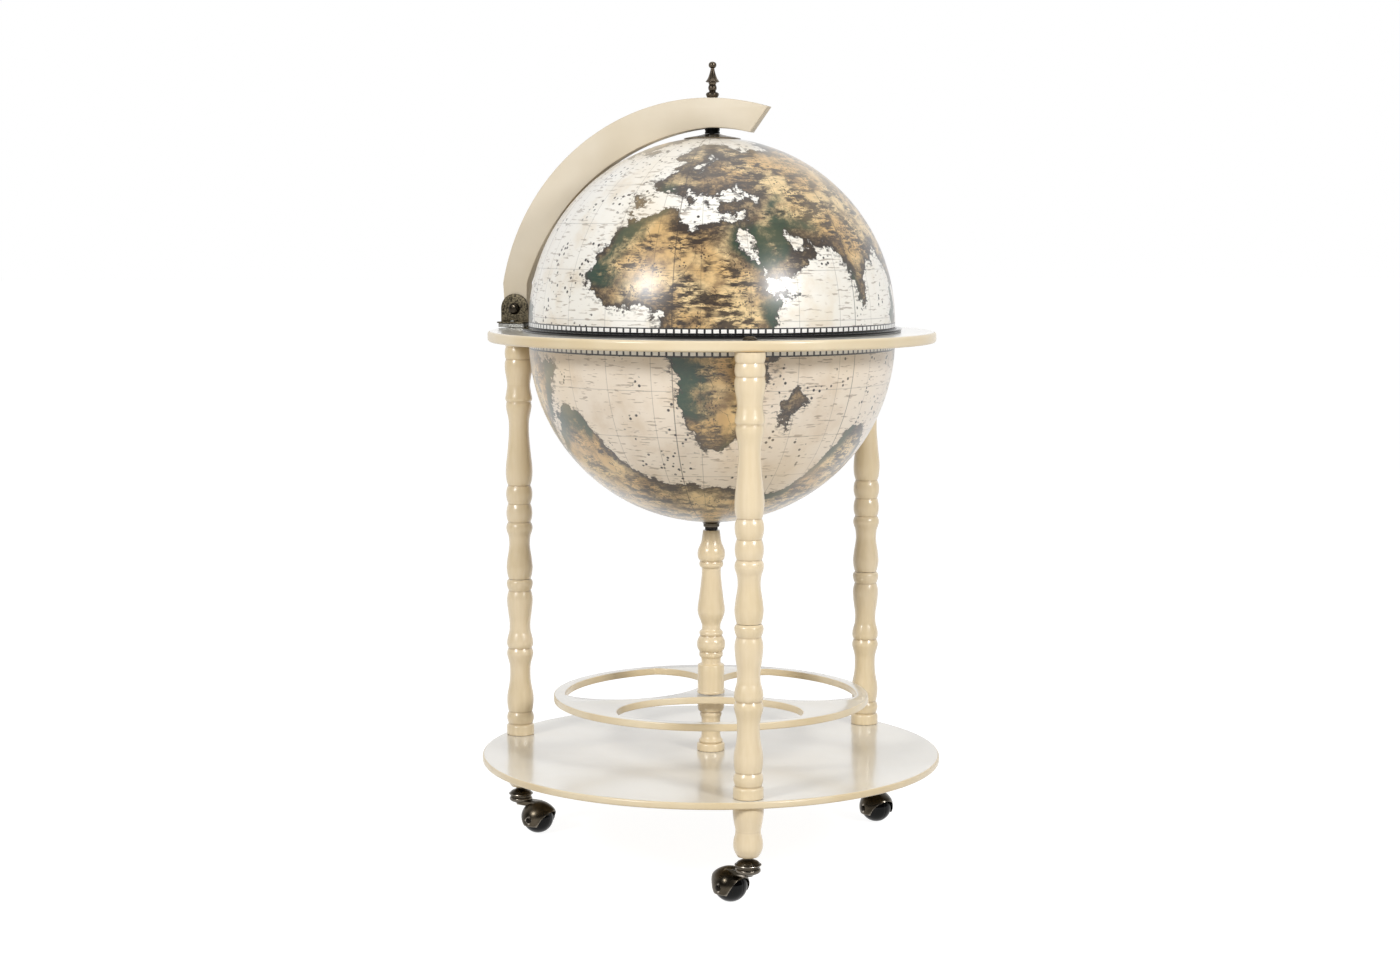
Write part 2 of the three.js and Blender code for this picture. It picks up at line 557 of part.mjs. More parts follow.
function buildLid() {
  const { outside, inside, inner } = lidShell;
  const skirtBottom = bandTop + SEAT_GAP;
  const lid = turned([
    ...outside, [GLOBE_RADIUS, skirtBottom], [inner, skirtBottom], ...inside, outside[0],
  ], ROUND_SIDES);
  add('upper_globe', lid, map);
  const proud = GLOBE_RADIUS + RIM_BAND_PROUD;
  const lip = GLOBE_RADIUS + RIM_LIP_REACH;
  const depth = GLOBE_RADIUS - RIM_BAND_DEPTH;
  add('rim_band', turned([
    [depth, bandBottom], [lip, bandBottom], [lip, bandBottom + RIM_LIP_THICKNESS],
    [proud, bandBottom + RIM_LIP_THICKNESS], [proud, bandTop], [depth, bandTop], [depth, bandBottom],
  ], ROUND_SIDES), blackPlastic);

  const capTop = upperPole + UPPER_CAP_RISE;
  const seat = seatUnder(outside, UPPER_CAP_RADIUS, SEAT_GAP);
  const edgeTop = seat.at(-1)[1] + CAP_EDGE;
  const slope = capShares.map(([inwards, up]) => [
    UPPER_CAP_RADIUS + (UPPER_CAP_CROWN_RADIUS - UPPER_CAP_RADIUS) * inwards,
    edgeTop + (capTop - edgeTop) * up,
  ]);
  const cap = turned([
    ...seat, [UPPER_CAP_RADIUS, edgeTop], ...slope, [boltBore, capTop], seat[0],
  ], ROUND_SIDES / 2);
  add('upper_pole_cap', cap, bronze);
  const nutTop = heightAt(inside, NUT_RADIUS) - SEAT_GAP;
  add('pole_nut', nut(nutTop - NUT_HEIGHT), steel);
}

// The arc's outline in its own plane: x outwards to the hinge, y up
function arcOutline() {
  const outerY = ringTop + ARC_OUTER_RISE;
  const outerRadius = Math.hypot(ARC_OUTER_SHIFT, arcOuterCrest - outerY);
  const innerY = outerY - ARC_INNER_DROP;
  const innerRadius = Math.hypot(ARC_INNER_SHIFT, arcInnerCrest - innerY);
  const heelLevel = pinLevel + ARC_HEEL_RISE;
  const outerHeel = Math.asin((heelLevel - outerY) / outerRadius);
  const innerHeel = Math.asin((heelLevel - innerY) / innerRadius);
  const tipAngle = Math.PI - Math.acos((ARC_TIP_REACH + ARC_OUTER_SHIFT) / outerRadius);
  const innerCrown = Math.acos(ARC_INNER_SHIFT / innerRadius);
  const innerTip = ARC_TIP_SLANT - ARC_TIP_REACH;
  const underTip = tipShares.map((share) => new THREE.Vector2(
    innerTip * share,
    arcInnerCrest - ARC_TIP_DROP * share ** 2,
  ));
  const steps = ROUND_SIDES / 2;
  return [
    ...arcPoints(legCircle, pinLevel, arcFootRadius, -Math.PI, 0, TURNED_SIDES),
    ...arcPoints(ARC_OUTER_SHIFT, outerY, outerRadius, outerHeel, tipAngle, steps),
    ...underTip,
    ...arcPoints(-ARC_INNER_SHIFT, innerY, innerRadius, innerCrown, innerHeel, steps),
  ];
}

function buildArc(group) {
  const outline = new THREE.Shape(arcOutline());
  outline.holes.push(holeAt(legCircle, pinLevel, PIN_RADIUS + BORE_GAP, TURNED_SIDES));
  const board = slab(outline, -ARC_THICKNESS / 2, ARC_THICKNESS).rotateX(Math.PI / 2);
  const bore = rod(boltBore, arcInnerCrest - CUT_OVERRUN, arcOuterCrest + CUT_OVERRUN);
  const collarSeat = rod(COLLAR_RADIUS + SEAT_GAP, collarBottom, arcInnerCrest);
  const finialSeat = rod(FINIAL_RADIUS + SEAT_GAP, arcOuterCrest, finialBottom + CUT_OVERRUN);
  add('meridian_arc', cut(board, bore, collarSeat, finialSeat), creamBoards, group);
  add('pole_collar', tube(boltBore, COLLAR_RADIUS, collarBottom, collarTop), blackPlastic, group);
  const finialBore = { radius: boltBore, depth: FINIAL_BORE_DEPTH };
  const finial = spindle(finialShares, finialBottom, FINIAL_HEIGHT, FINIAL_RADIUS, finialBore);
  add('finial', finial, bronze, group);
  const boltBottom = heightAt(lidShell.inside, NUT_RADIUS) - NUT_HEIGHT - 2 * SEAT_GAP;
  const boltTop = finialBottom + FINIAL_BORE_DEPTH - SEAT_GAP;
  add('pole_bolt', rod(BOLT_RADIUS, boltBottom, boltTop), steel, group);
}

// A rectangle about the leg axis under the hinge: x along the arc, y across it
function hingeRectangle(halfLength, halfWidth) {
  const [near, far] = [legCircle - halfLength, legCircle + halfLength];
  const corners = [[near, -halfWidth], [far, -halfWidth], [far, halfWidth], [near, halfWidth]];
  return new THREE.Shape(corners.map(([x, y]) => new THREE.Vector2(x, y)));
}

function buildHinge(group) {
  const cutTop = hingePlateTop + CUT_OVERRUN;
  const well = rod(LEG_SCREW_HEAD_RADIUS + BORE_GAP, ringTop, cutTop).translate(legCircle, 0, 0);
  const screwHoles = [1, -1].map((side) => {
    const hole = rod(HINGE_SCREW_RADIUS + SEAT_GAP, ringTop, cutTop);
    return hole.translate(legCircle, side * HINGE_SCREW_OFFSET, 0);
  });
  const baseShape = hingeRectangle(CHEEK_RADIUS, HINGE_BASE_HALF_WIDTH);
  const base = slab(baseShape, hingeBaseBottom, HINGE_BASE_HEIGHT);
  add('hinge_base', cut(base, well, ...screwHoles), steel, group);

  const plateHalfWidth = HINGE_BASE_HALF_WIDTH + HINGE_PLATE_LAP;
  const plateShape = hingeRectangle(CHEEK_RADIUS + HINGE_PLATE_LAP, plateHalfWidth);
  const plate = slab(plateShape, hingePlateBottom, HINGE_PLATE_THICKNESS);
  const cheekInner = ARC_THICKNESS / 2 + CHEEK_GAP;
  const cheekShape = new THREE.Shape([
    new THREE.Vector2(legCircle - CHEEK_RADIUS, hingePlateBottom),
    new THREE.Vector2(legCircle + CHEEK_RADIUS, hingePlateBottom),
    ...arcPoints(legCircle, pinLevel, CHEEK_RADIUS, 0, Math.PI, TURNED_SIDES),
  ]);
  cheekShape.holes.push(holeAt(legCircle, pinLevel, PIN_RADIUS + BORE_GAP, TURNED_SIDES));
  const cheek = (from) => {
    const plateOnEdge = slab(cheekShape, 0, CHEEK_THICKNESS).rotateX(Math.PI / 2);
    return plateOnEdge.translate(0, from + CHEEK_THICKNESS, 0);
  };
  const bracket = join(plate, cheek(cheekInner), cheek(-cheekInner - CHEEK_THICKNESS));
  add('hinge_bracket', cut(bracket, well, ...screwHoles), bronze, group);

  const headStart = cheekInner + CHEEK_THICKNESS + SEAT_GAP;
  const farHead = sized(pinHeadShares, headStart, PIN_HEAD_HEIGHT, PIN_HEAD_RADIUS);
  const nearHead = sized(pinHeadShares, -headStart, -PIN_HEAD_HEIGHT, PIN_HEAD_RADIUS).reverse();
  const pin = turned([...nearHead, [PIN_RADIUS, -headStart], [PIN_RADIUS, headStart], ...farHead]);
  add('hinge_pin', pin.rotateX(Math.PI / 2).translate(legCircle, 0, pinLevel), bronze, group);

  const screwBottom = ringTop - HINGE_SCREW_DEPTH;
  const screwSeat = hingePlateTop + SEAT_GAP;
  [['near', 1], ['far', -1]].forEach(([name, side]) => {
    const screw = turned([
      [0, screwBottom], [HINGE_SCREW_RADIUS, screwBottom], [HINGE_SCREW_RADIUS, screwSeat],
      ...sized(smallScrewShares, screwSeat, HINGE_SCREW_HEAD_HEIGHT, HINGE_SCREW_HEAD_RADIUS),
    ], SMALL_SIDES);
    add(`hinge_screw_${name}`, screw.translate(legCircle, side * HINGE_SCREW_OFFSET, 0), steel, group);
  });
}

// Caster about its own stem: x along the trail, the ball's centre at the trail's end
function buildCaster(name, post, postAngle, trailAngle) {
  const group = new THREE.Group();
  group.rotation.z = trailAngle - postAngle;
  post.add(group);
  const bossBottom = bossTop - BOSS_HEIGHT;
  const pinBottom = bossBottom + SEAT_GAP;
  const pinTop = CASTER_HEIGHT + STUD_DEPTH;
  const bearingBottom = CASTER_HEIGHT - BEARING_HEIGHT;
  const stem = turned([
    [0, pinBottom], [CASTER_PIN_RADIUS, pinBottom], [CASTER_PIN_RADIUS, bearingBottom],
    ...sized(bearingShares, bearingBottom, BEARING_HEIGHT, BEARING_RADIUS),
    [CASTER_PIN_RADIUS, CASTER_HEIGHT], [CASTER_PIN_RADIUS, pinTop], [0, pinTop],
  ]);
  add(`caster_stem_${name}`, stem, bronze, group);

  const ballAt = (geometry) => geometry.translate(CASTER_TRAIL, 0, BALL_RADIUS);
  const globe = (radius) => {
    const sphere = new THREE.SphereGeometry(radius, CASTER_SIDES, CASTER_SIDES / 2);
    return ballAt(sphere.rotateX(Math.PI / 2));
  };
  const bossSide = sized(bossShares, bossBottom, BOSS_HEIGHT, BOSS_RADIUS);
  const boss = turned([[0, bossBottom], [BOSS_FOOT_RADIUS, bossBottom], ...bossSide, [0, bossTop]]);
  const neck = new THREE.BoxGeometry(CASTER_TRAIL, BOSS_RADIUS, BOSS_HEIGHT);
  neck.translate(CASTER_TRAIL / 2, 0, bossTop - BOSS_HEIGHT / 2);
  const span = 4 * hoodRadius;
  const archRadius = hoodRadius - HOOD_ARCH_INSET;
  const arch = new THREE.CylinderGeometry(archRadius, archRadius, span, CASTER_SIDES).rotateZ(Math.PI / 2);
  arch.translate(0, 0, HOOD_ARCH_RISE - archRadius);
  const skirt = new THREE.BoxGeometry(span, span, span / 2).translate(0, 0, -HOOD_LOBE_DROP - span / 4);
  const pinHole = rod(CASTER_PIN_RADIUS + BORE_GAP, bossBottom - CUT_OVERRUN, bossTop + CUT_OVERRUN);
  const axleHole = rod(AXLE_RADIUS + SEAT_GAP, -span / 2, span / 2).rotateX(Math.PI / 2);
  const openings = [globe(BALL_RADIUS + HOOD_GAP), ballAt(arch), ballAt(skirt), pinHole, ballAt(axleHole)];
  add(`caster_hood_${name}`, cut(join(globe(hoodRadius), boss, neck), ...openings), bronze, group);

  const axleEnd = hoodRadius + SEAT_GAP;
  const axle = turned([
    [0, -axleEnd - AXLE_HEAD_HEIGHT], [AXLE_HEAD_RADIUS, -axleEnd - AXLE_HEAD_HEIGHT],
    [AXLE_HEAD_RADIUS, -axleEnd], [AXLE_RADIUS, -axleEnd], [AXLE_RADIUS, axleEnd],
    [AXLE_HEAD_RADIUS, axleEnd], [AXLE_HEAD_RADIUS, axleEnd + AXLE_HEAD_HEIGHT],
    [0, axleEnd + AXLE_HEAD_HEIGHT],
  ], SMALL_SIDES);
  add(`caster_axle_${name}`, ballAt(axle.rotateX(Math.PI / 2)), steel, group);

  const ballBore = AXLE_RADIUS + BORE_GAP;
  const start = Math.asin(ballBore / BALL_RADIUS);
  const ballSteps = CASTER_SIDES / 2;
  const profile = Array.from({ length: ballSteps + 1 }, (_, i) => {
    const angle = start + (Math.PI - 2 * start) * i / ballSteps;
    return [BALL_RADIUS * Math.sin(angle), -BALL_RADIUS * Math.cos(angle)];
  });
  const ball = turned([...profile, profile[0]], CASTER_SIDES).rotateX(Math.PI / 2);
  add(`caster_ball_${name}`, ballAt(ball), blackPlastic, group);
}

buildFrame();
legNames.forEach((name, i) => {
  const post = buildLeg(name, legAngles[i]);
  buildCaster(name, post, legAngles[i], trailAngles[i]);
});
buildColumn();
buildBowl();
buildLid();
const hingeGroup = new THREE.Group();
hingeGroup.rotation.z = hingeAngle;
parts.add(hingeGroup);
buildArc(hingeGroup);
buildHinge(hingeGroup);

export default parts;
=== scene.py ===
"""Looks of a floor globe bar: fine surfaces, finishes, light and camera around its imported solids."""

import json
import logging
import math
from collections.abc import Callable
from dataclasses import dataclass, field
from enum import Enum
from functools import partial

import bpy
import numpy as np
from mathutils import Matrix, Vector
from mathutils.geometry import tessellate_polygon


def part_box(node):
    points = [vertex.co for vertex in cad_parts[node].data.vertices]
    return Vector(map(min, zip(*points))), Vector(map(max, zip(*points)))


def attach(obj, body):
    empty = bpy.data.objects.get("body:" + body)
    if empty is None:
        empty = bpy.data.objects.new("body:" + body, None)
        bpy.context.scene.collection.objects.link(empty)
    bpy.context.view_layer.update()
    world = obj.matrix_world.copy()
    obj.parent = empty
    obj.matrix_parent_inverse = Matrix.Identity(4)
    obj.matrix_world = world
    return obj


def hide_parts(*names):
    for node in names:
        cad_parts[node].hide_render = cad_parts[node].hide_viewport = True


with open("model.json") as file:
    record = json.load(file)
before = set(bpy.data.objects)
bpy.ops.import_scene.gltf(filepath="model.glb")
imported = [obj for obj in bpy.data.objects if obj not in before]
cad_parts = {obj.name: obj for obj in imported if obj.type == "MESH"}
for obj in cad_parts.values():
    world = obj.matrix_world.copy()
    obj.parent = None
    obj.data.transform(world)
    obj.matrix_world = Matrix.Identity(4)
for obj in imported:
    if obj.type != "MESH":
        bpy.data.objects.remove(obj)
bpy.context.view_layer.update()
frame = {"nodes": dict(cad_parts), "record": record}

MM = 0.001
IMAGE_WIDTH = 1400
LOG = logging.getLogger("globe_bar")

Point = tuple[float, float]
Span = list[Point]
Place = tuple[float, float, float]
Points = list[Place]
Faces = list[tuple[int, ...]]
Piece = bpy.types.Object
Socket = bpy.types.NodeSocket
Adder = Callable[..., Socket]
Layers = list[tuple[Socket, str]]
Constants = tuple[tuple[str, object], ...]


# Shared sizes


@dataclass(frozen=True)
class Levels:
    """Heights and radii that the sub-assemblies share, in millimetres.

    They repeat the driving sizes of the solids, so that a fine piece lies on its solid.
    """

    globe_radius: float = 210.0
    shell_wall: float = 3.0
    board_bottom: float = 110.0
    board_top: float = 118.0
    shelf_bottom: float = 177.7
    shelf_top: float = 185.7
    ring_bottom: float = 596.0
    ring_top: float = 608.0
    bowl_centre: float = 597.5
    lid_centre: float = 618.0
    ring_outer: float = 257.0
    ring_inner: float = 211.5
    leg_circle: float = 245.0
    board_radius: float = 266.0
    column_top: float = 377.2
    seat_gap: float = 0.3

    @property
    def lower_pole(self) -> float:
        """Height of the globe's lower pole."""
        return self.bowl_centre - self.globe_radius

    @property
    def upper_pole(self) -> float:
        """Height of the globe's upper pole."""
        return self.lid_centre + self.globe_radius


LEVELS = Levels()


class Leg(Enum):
    """The three legs, each with its direction from the axis in degrees."""

    FRONT = -90.0
    RIGHT = 30.0
    LEFT = 150.0

    @property
    def label(self) -> str:
        """The leg's name as the solids write it."""
        return self.name.lower()

    @property
    def centre(self) -> Point:
        """The leg axis in the plan, in millimetres."""
        turn = math.radians(self.value)
        return LEVELS.leg_circle * math.cos(turn), LEVELS.leg_circle * math.sin(turn)


# Colours and nodes


def srgb(code: str) -> tuple[float, float, float, float]:
    """Turns an sRGB hex colour to the linear colour that Blender's sockets take.

    Args:
        code: Six hex digits with a leading #.

    Returns:
        Linear red, green, blue and an alpha of one.
    """
    channels = [int(code[i : i + 2], 16) / 255 for i in (1, 3, 5)]
    linear = [c / 12.92 if c <= 0.04045 else ((c + 0.055) / 1.055) ** 2.4 for c in channels]
    return linear[0], linear[1], linear[2], 1.0


def add_node(
    tree: bpy.types.NodeTree, kind: str, inputs: dict | None = None, output: int | str = 0, **settings: object
) -> Socket | None:
    """Adds a shader node with its settings, values and links.

    Args:
        tree: The node tree that it joins.
        kind: Blender's node type without its ShaderNode prefix.
        inputs: Socket names or indices, each with a value or with the output that feeds it.
        output: Name or index of the output that is wanted.
        **settings: Properties set on the node.

    Returns:
        The wanted output, or None for a node that has none.
    """
    made = tree.nodes.new(f"ShaderNode{kind}")
    for key, value in settings.items():
        setattr(made, key, value)
    for key, value in (inputs or {}).items():
        if isinstance(value, Socket):
            tree.links.new(value, made.inputs[key])
        else:
            made.inputs[key].default_value = value
    return made.outputs[output] if len(made.outputs) else None


def new_material(name: str) -> tuple[bpy.types.Material, Adder]:
    """Makes a material with an empty node tree.

    Args:
        name: The material's name.

    Returns:
        The material, and add_node bound to its tree.
    """
    material = bpy.data.materials.new(name)
    material.use_nodes = True
    material.node_tree.nodes.clear()
    return material, partial(add_node, material.node_tree)


@dataclass(frozen=True)
class Patches:
    """Irregular patches of a real size, as a share from zero between them to strength on them.

    Attributes:
        size_mm: Width of a patch.
        detail: Octaves of finer noise inside it.
        low: Noise level at which a patch begins.
        high: Noise level at which it is full.
        strength: Share on a full patch.
        stretch: How much finer the patches are along each axis.
        rough: Weight of the finer noise.
    """

    size_mm: float
    detail: float = 3.0
    low: float = 0.0
    high: float = 1.0
    strength: float = 1.0
    stretch: Place = (1.0, 1.0, 1.0)
    rough: float = 0.5

    def share(self, add: Adder, place: Socket) -> Socket:
        """Adds the pattern.

        Args:
            add: Adds a node to the material.
            place: Coordinates in metres.

        Returns:
            The share.
        """
        if self.stretch != (1.0, 1.0, 1.0):
            place = add("Mapping", {"Vector": place, "Scale": self.stretch})
        inputs = {"Vector": place, "Scale": 1 / (self.size_mm * MM)}
        noise = add("TexNoise", inputs | {"Detail": self.detail, "Roughness": self.rough})
        limits = {"Value": noise, "From Min": self.low, "From Max": self.high, "To Max": self.strength}
        return add("MapRange", limits, interpolation_type="SMOOTHSTEP")


# Finishes


def varnish(weight: float, roughness: float, ior: float = 1.5) -> Constants:
    """Socket values of a lacquer or plastic body under a clear coat."""
    return ("IOR", 1.5), ("Coat Weight", weight), ("Coat Roughness", roughness), ("Coat IOR", ior)


@dataclass(frozen=True)
class Finish:
    """A surface of two colours in patches, with a fine relief.

    Attributes:
        name: The real material and how its surface was made.
        base: Colour between the patches.
        patch: Colour on them.
        patches: Patterns whose shares add up to the patches.
        roughness: One value, or its values between the patches and on them.
        relief: Pattern of the relief, where one shows.
        relief_mm: Depth of the relief.
        constants: Values that are the same all over, by the shader's socket.
    """

    name: str
    base: str
    patch: str
    patches: tuple[Patches, ...]
    roughness: float | Point
    relief: Patches | None = None
    relief_mm: float = 0.03
    constants: Constants = ()

    def build(self) -> bpy.types.Material:
        """Makes the material.

        Returns:
            The material, ready for a mesh.
        """
        material, add = new_material(self.name)
        place = add("TexCoord", output="Object")
        shares = [pattern.share(add, place) for pattern in self.patches]
        tone = shares[0]
        for share in shares[1:]:
            tone = add("Math", {0: tone, 1: share}, operation="ADD")
        paint: object = srgb(self.base)
        for share, colour in [(tone, self.patch), *self.marks(add, place)]:
            paint = add("Mix", {0: share, 6: paint, 7: srgb(colour)}, output=2, data_type="RGBA")
        surface = {"Base Color": paint, "Roughness": self.roughness, **dict(self.constants)}
        if isinstance(self.roughness, tuple):
            between, on = self.roughness
            surface["Roughness"] = add("MapRange", {"Value": tone, "To Min": between, "To Max": on})
        if self.relief:
            height = self.relief.share(add, place)
            surface["Normal"] = add("Bump", {"Height": height, "Distance": self.relief_mm * MM})
        add("OutputMaterial", {"Surface": add("BsdfPrincipled", surface)})
        return material

    def marks(self, add: Adder, place: Socket) -> Layers:
        """Shares and colours that lie over the patches, from the lowest up; a plain finish has none."""
        return []


@dataclass(frozen=True)
class TurnedLacquer(Finish):
    """Turned rubberwood under satin cream lacquer: a soft sheen, faint grain, and painted shade in the
    grooves.
    """

    name: str = "cream_lacquered_turned_rubberwood"
    base: str = "#EBD9B9"
    patch: str = "#DFCBA3"
    # Real pores are 0.3 mm wide, too fine to show, so the grain is drawn ten times as coarse.
    patches: tuple[Patches, ...] = (
        Patches(3.0, 3.0, 0.3, 0.7, 0.3, (1.0, 1.0, 0.05)), Patches(60.0, 2.0, 0.3, 0.7, 0.5)
    )
    roughness: float | Point = (0.34, 0.42)
    relief: Patches = Patches(2.0)  # ripple of the sprayed coat
    relief_mm: float = 0.006
    constants: Constants = varnish(0.8, 0.22)
    # painted shade: a darker brown laid in the grooves, where shade falls
    glaze: str = "#8E6C3C"
    glaze_share: float = 0.75

    def marks(self, add: Adder, place: Socket) -> Layers:
        """Painted shade: a darker brown in the grooves, by their depth that is stored on the mesh."""
        groove = add("Attribute", output="Fac", attribute_name="groove")
        return [(add("Math", {0: groove, 1: self.glaze_share}, operation="MULTIPLY"), self.glaze)]


@dataclass(frozen=True)
class BoardLacquer(Finish):
    """Fibreboard under sprayed cream lacquer: an even pale coat that mirrors the room at a low angle."""

    patches: tuple[Patches, ...] = (Patches(90.0, 3.0, 0.3, 0.7),)
    roughness: float | Point = 0.3
    relief: Patches = Patches(3.0)  # orange peel of the sprayed coat
    relief_mm: float = 0.003


@dataclass(frozen=True)
class AntiqueBronze(Finish):
    """Cast or pressed zinc with a rubbed bronze plating: nearly black, brassy brown where hands rub it."""

    base: str = "#37322A"
    patch: str = "#5B5347"
    patches: tuple[Patches, ...] = (Patches(26.0, 3.0, 0.4, 0.7),)
    roughness: float | Point = (0.24, 0.34)
    relief: Patches = Patches(1.6, 2.0)  # dents of the casting
    relief_mm: float = 0.006
    constants: Constants = (("Metallic", 1.0),)
    # paler metal on sharp edges, found by pointiness: rubbed wear and a painted highlight
    edge: str = "#BBB2A6"
    edge_from: float = 0.53
    edge_width: float = 0.09

    def marks(self, add: Adder, place: Socket) -> Layers:
        """Paler metal on sharp edges: rubbed wear, together with a painted highlight along rims and lips."""
        limits = {"From Min": self.edge_from, "From Max": self.edge_from + self.edge_width}
        return [(add("MapRange", {"Value": add("NewGeometry", output="Pointiness"), **limits}), self.edge)]


@dataclass(frozen=True)
class GlossyPlastic(Finish):
    """Injection moulded black nylon, polished by use: deep black with small sharp reflections."""

    name: str = "black_moulded_nylon"
    base: str = "#030303"
    patch: str = "#0D0C0E"
    patches: tuple[Patches, ...] = (Patches(6.0, 4.0, 0.5, 0.8, rough=0.7),)
    roughness: float | Point = (0.08, 0.2)
    constants: Constants = (("IOR", 1.27),)


@dataclass(frozen=True)
class ZincSteel(Finish):
    """Turned steel with bright zinc: grey, with fine rings left by the tool."""

    name: str = "zinc_plated_steel"
    base: str = "#8E8C86"
    patch: str = "#A9A8A3"
    # Real tool marks are finer than a pixel, so the rings are drawn coarser.
    patches: tuple[Patches, ...] = (Patches(0.8, 1.0, 0.2, 0.8, 1.0, (0.15, 0.15, 1.0)),)
    roughness: float | Point = (0.25, 0.45)
    relief: Patches = Patches(0.8, 1.0, 0.2, 0.8, 1.0, (0.15, 0.15, 1.0))
    constants: Constants = (("Metallic", 1.0),)


@dataclass(frozen=True)
class MattCoat(Finish):
    """Moulded rubber or pasted paper: matt, with soft mottling and the relief of its grain or fibres."""


@dataclass(frozen=True)
class GlobePrint(Finish):
    """Printed paper gores under clear varnish: an old style map with a graduated band at the rim.

    The distance from the coast is stored on the mesh as the attribute "inland", in degrees. Noise
    roughens it to bays and capes, and every colour of the print is laid over the last by its share.
    The base and the patches are the ochre and tan of the land. The varnish and a thin sheen of dust
    pale the globe where it turns away.
    """

    base: str = "#D2AE76"
    patch: str = "#E9CE9B"
    patches: tuple[Patches, ...] = (Patches(75.0, 3.0, 0.42, 0.58),)
    roughness: float | Point = 0.4
    relief: Patches = Patches(5.0)
    relief_mm: float = 0.01
    constants: Constants = (
        ("IOR", 1.4), ("Coat Weight", 1.0), ("Coat Roughness", 0.3), ("Coat IOR", 1.55),
        ("Sheen Weight", 0.3), ("Sheen Roughness", 0.3), ("Sheen Tint", srgb("#F7F8FB")),
    )
    centre: float = LEVELS.lid_centre
    band: Point = (613.8, 617.9)
    border: Point = (611.0, 619.2)
    sea: str = "#F3F0E8"
    stain: str = "#E2D6C2"
    squares: int = 160
    white_share: float = 0.72
    grid_degrees: float = 15.0
    gore_degrees: float = 60.0
    line_turn: float = 0.02 + 1.0 / 3.0
    brown: str = "#765C42"
    umber: str = "#33271F"
    ink: str = "#221B18"
    green: str = "#23402F"
    yellowed: str = "#E2C48C"
    black: str = "#0B0908"
    white: str = "#FBF9F4"

    def marks(self, add: Adder, place: Socket) -> Layers:
        """The land, the sea over it and the lines over both."""
        coast = self.coast(add, place)
        return [*self.land(add, place, coast), *self.water(add, place, coast), *self.lines(add, place, coast)]

    def coast(self, add: Adder, place: Socket) -> Socket:
        """Roughens the stored distance from the coast with bays, capes and inlets.

        Args:
            add: Adds a node to the material.
            place: Coordinates in metres.

        Returns:
            Degrees inland, negative at sea.
        """
        line = add("Attribute", output="Fac", attribute_name="inland")
        for size_mm, reach in ((46.0, 13.0), (9.0, 4.0)):
            noise = Patches(size_mm, 6.0, strength=reach, rough=0.65).share(add, place)
            moved = add("Math", {0: line, 1: noise}, operation="ADD")
            line = add("Math", {0: moved, 1: reach / 2}, operation="SUBTRACT")
        return line

    def land(self, add: Adder, place: Socket, coast: Socket) -> Layers:
        """Brown hills in hachures, woods, rivers, green shores and a dark ragged coastal shade.

        Args:
            add: Adds a node to the material.
            place: Coordinates in metres.
            coast: Degrees inland.

        Returns:
            Shares and colours, from the lowest up.
        """
        ranges = Patches(34.0, 3.0, 0.4, 0.55, 1.0, (1.0, 1.0, 1.5)).share(add, place)
        hills = Patches(9.0, 5.0, 0.45, 0.56, 0.95, (0.5, 0.5, 1.8), 0.62).share(add, place)
        hatch = Patches(2.4, 3.0, 0.52, 0.62, 0.8, (0.5, 0.5, 1.6), 0.6).share(add, place)
        woods = Patches(24.0, 2.0, 0.55, 0.62, 0.85).share(add, place)
        cells = add("TexVoronoi", {"Vector": place, "Scale": 1 / (3.4 * MM)})
        limits = {"Value": cells, "From Min": 0.4, "From Max": 0.26}
        trees = add("MapRange", limits, interpolation_type="SMOOTHSTEP")
        river = add("TexNoise", {"Vector": place, "Scale": 1 / (34.0 * MM), "Detail": 4.0, "Distortion": 0.6})
        bank = add("Math", {0: river, 1: 0.5}, operation="SUBTRACT")
        bank = add("Math", {0: bank}, operation="ABSOLUTE")
        stream = add("MapRange", {"Value": bank, "From Min": 0.006, "From Max": 0.002, "To Max": 0.75})
        ragged = Patches(7.0, 4.0, strength=7.0, rough=0.7).share(add, place)
        depth = add("Math", {0: coast, 1: ragged}, operation="ADD")
        shade = add("MapRange", {"Value": depth, "From Min": 9.8, "From Max": 4.4, "To Max": 0.95})
        verdure = Patches(95.0, 1.0, 0.53, 0.59, 0.9).share(add, place)
        wash = add("MapRange", {"Value": depth, "From Min": 13.0, "From Max": 7.5})
        return [
            (Patches(26.0, 5.0, 0.44, 0.7, 0.85, (1.0, 1.0, 1.5), 0.65).share(add, place), self.brown),
            (add("Math", {0: ranges, 1: hills}, operation="MULTIPLY"), self.umber),
            (add("Math", {0: ranges, 1: hatch}, operation="MULTIPLY"), self.ink),
            (add("Math", {0: woods, 1: trees}, operation="MULTIPLY"), self.umber),
            (stream, self.umber),
            (shade, self.umber),
            (add("Math", {0: verdure, 1: wash}, operation="MULTIPLY"), self.green),
        ]

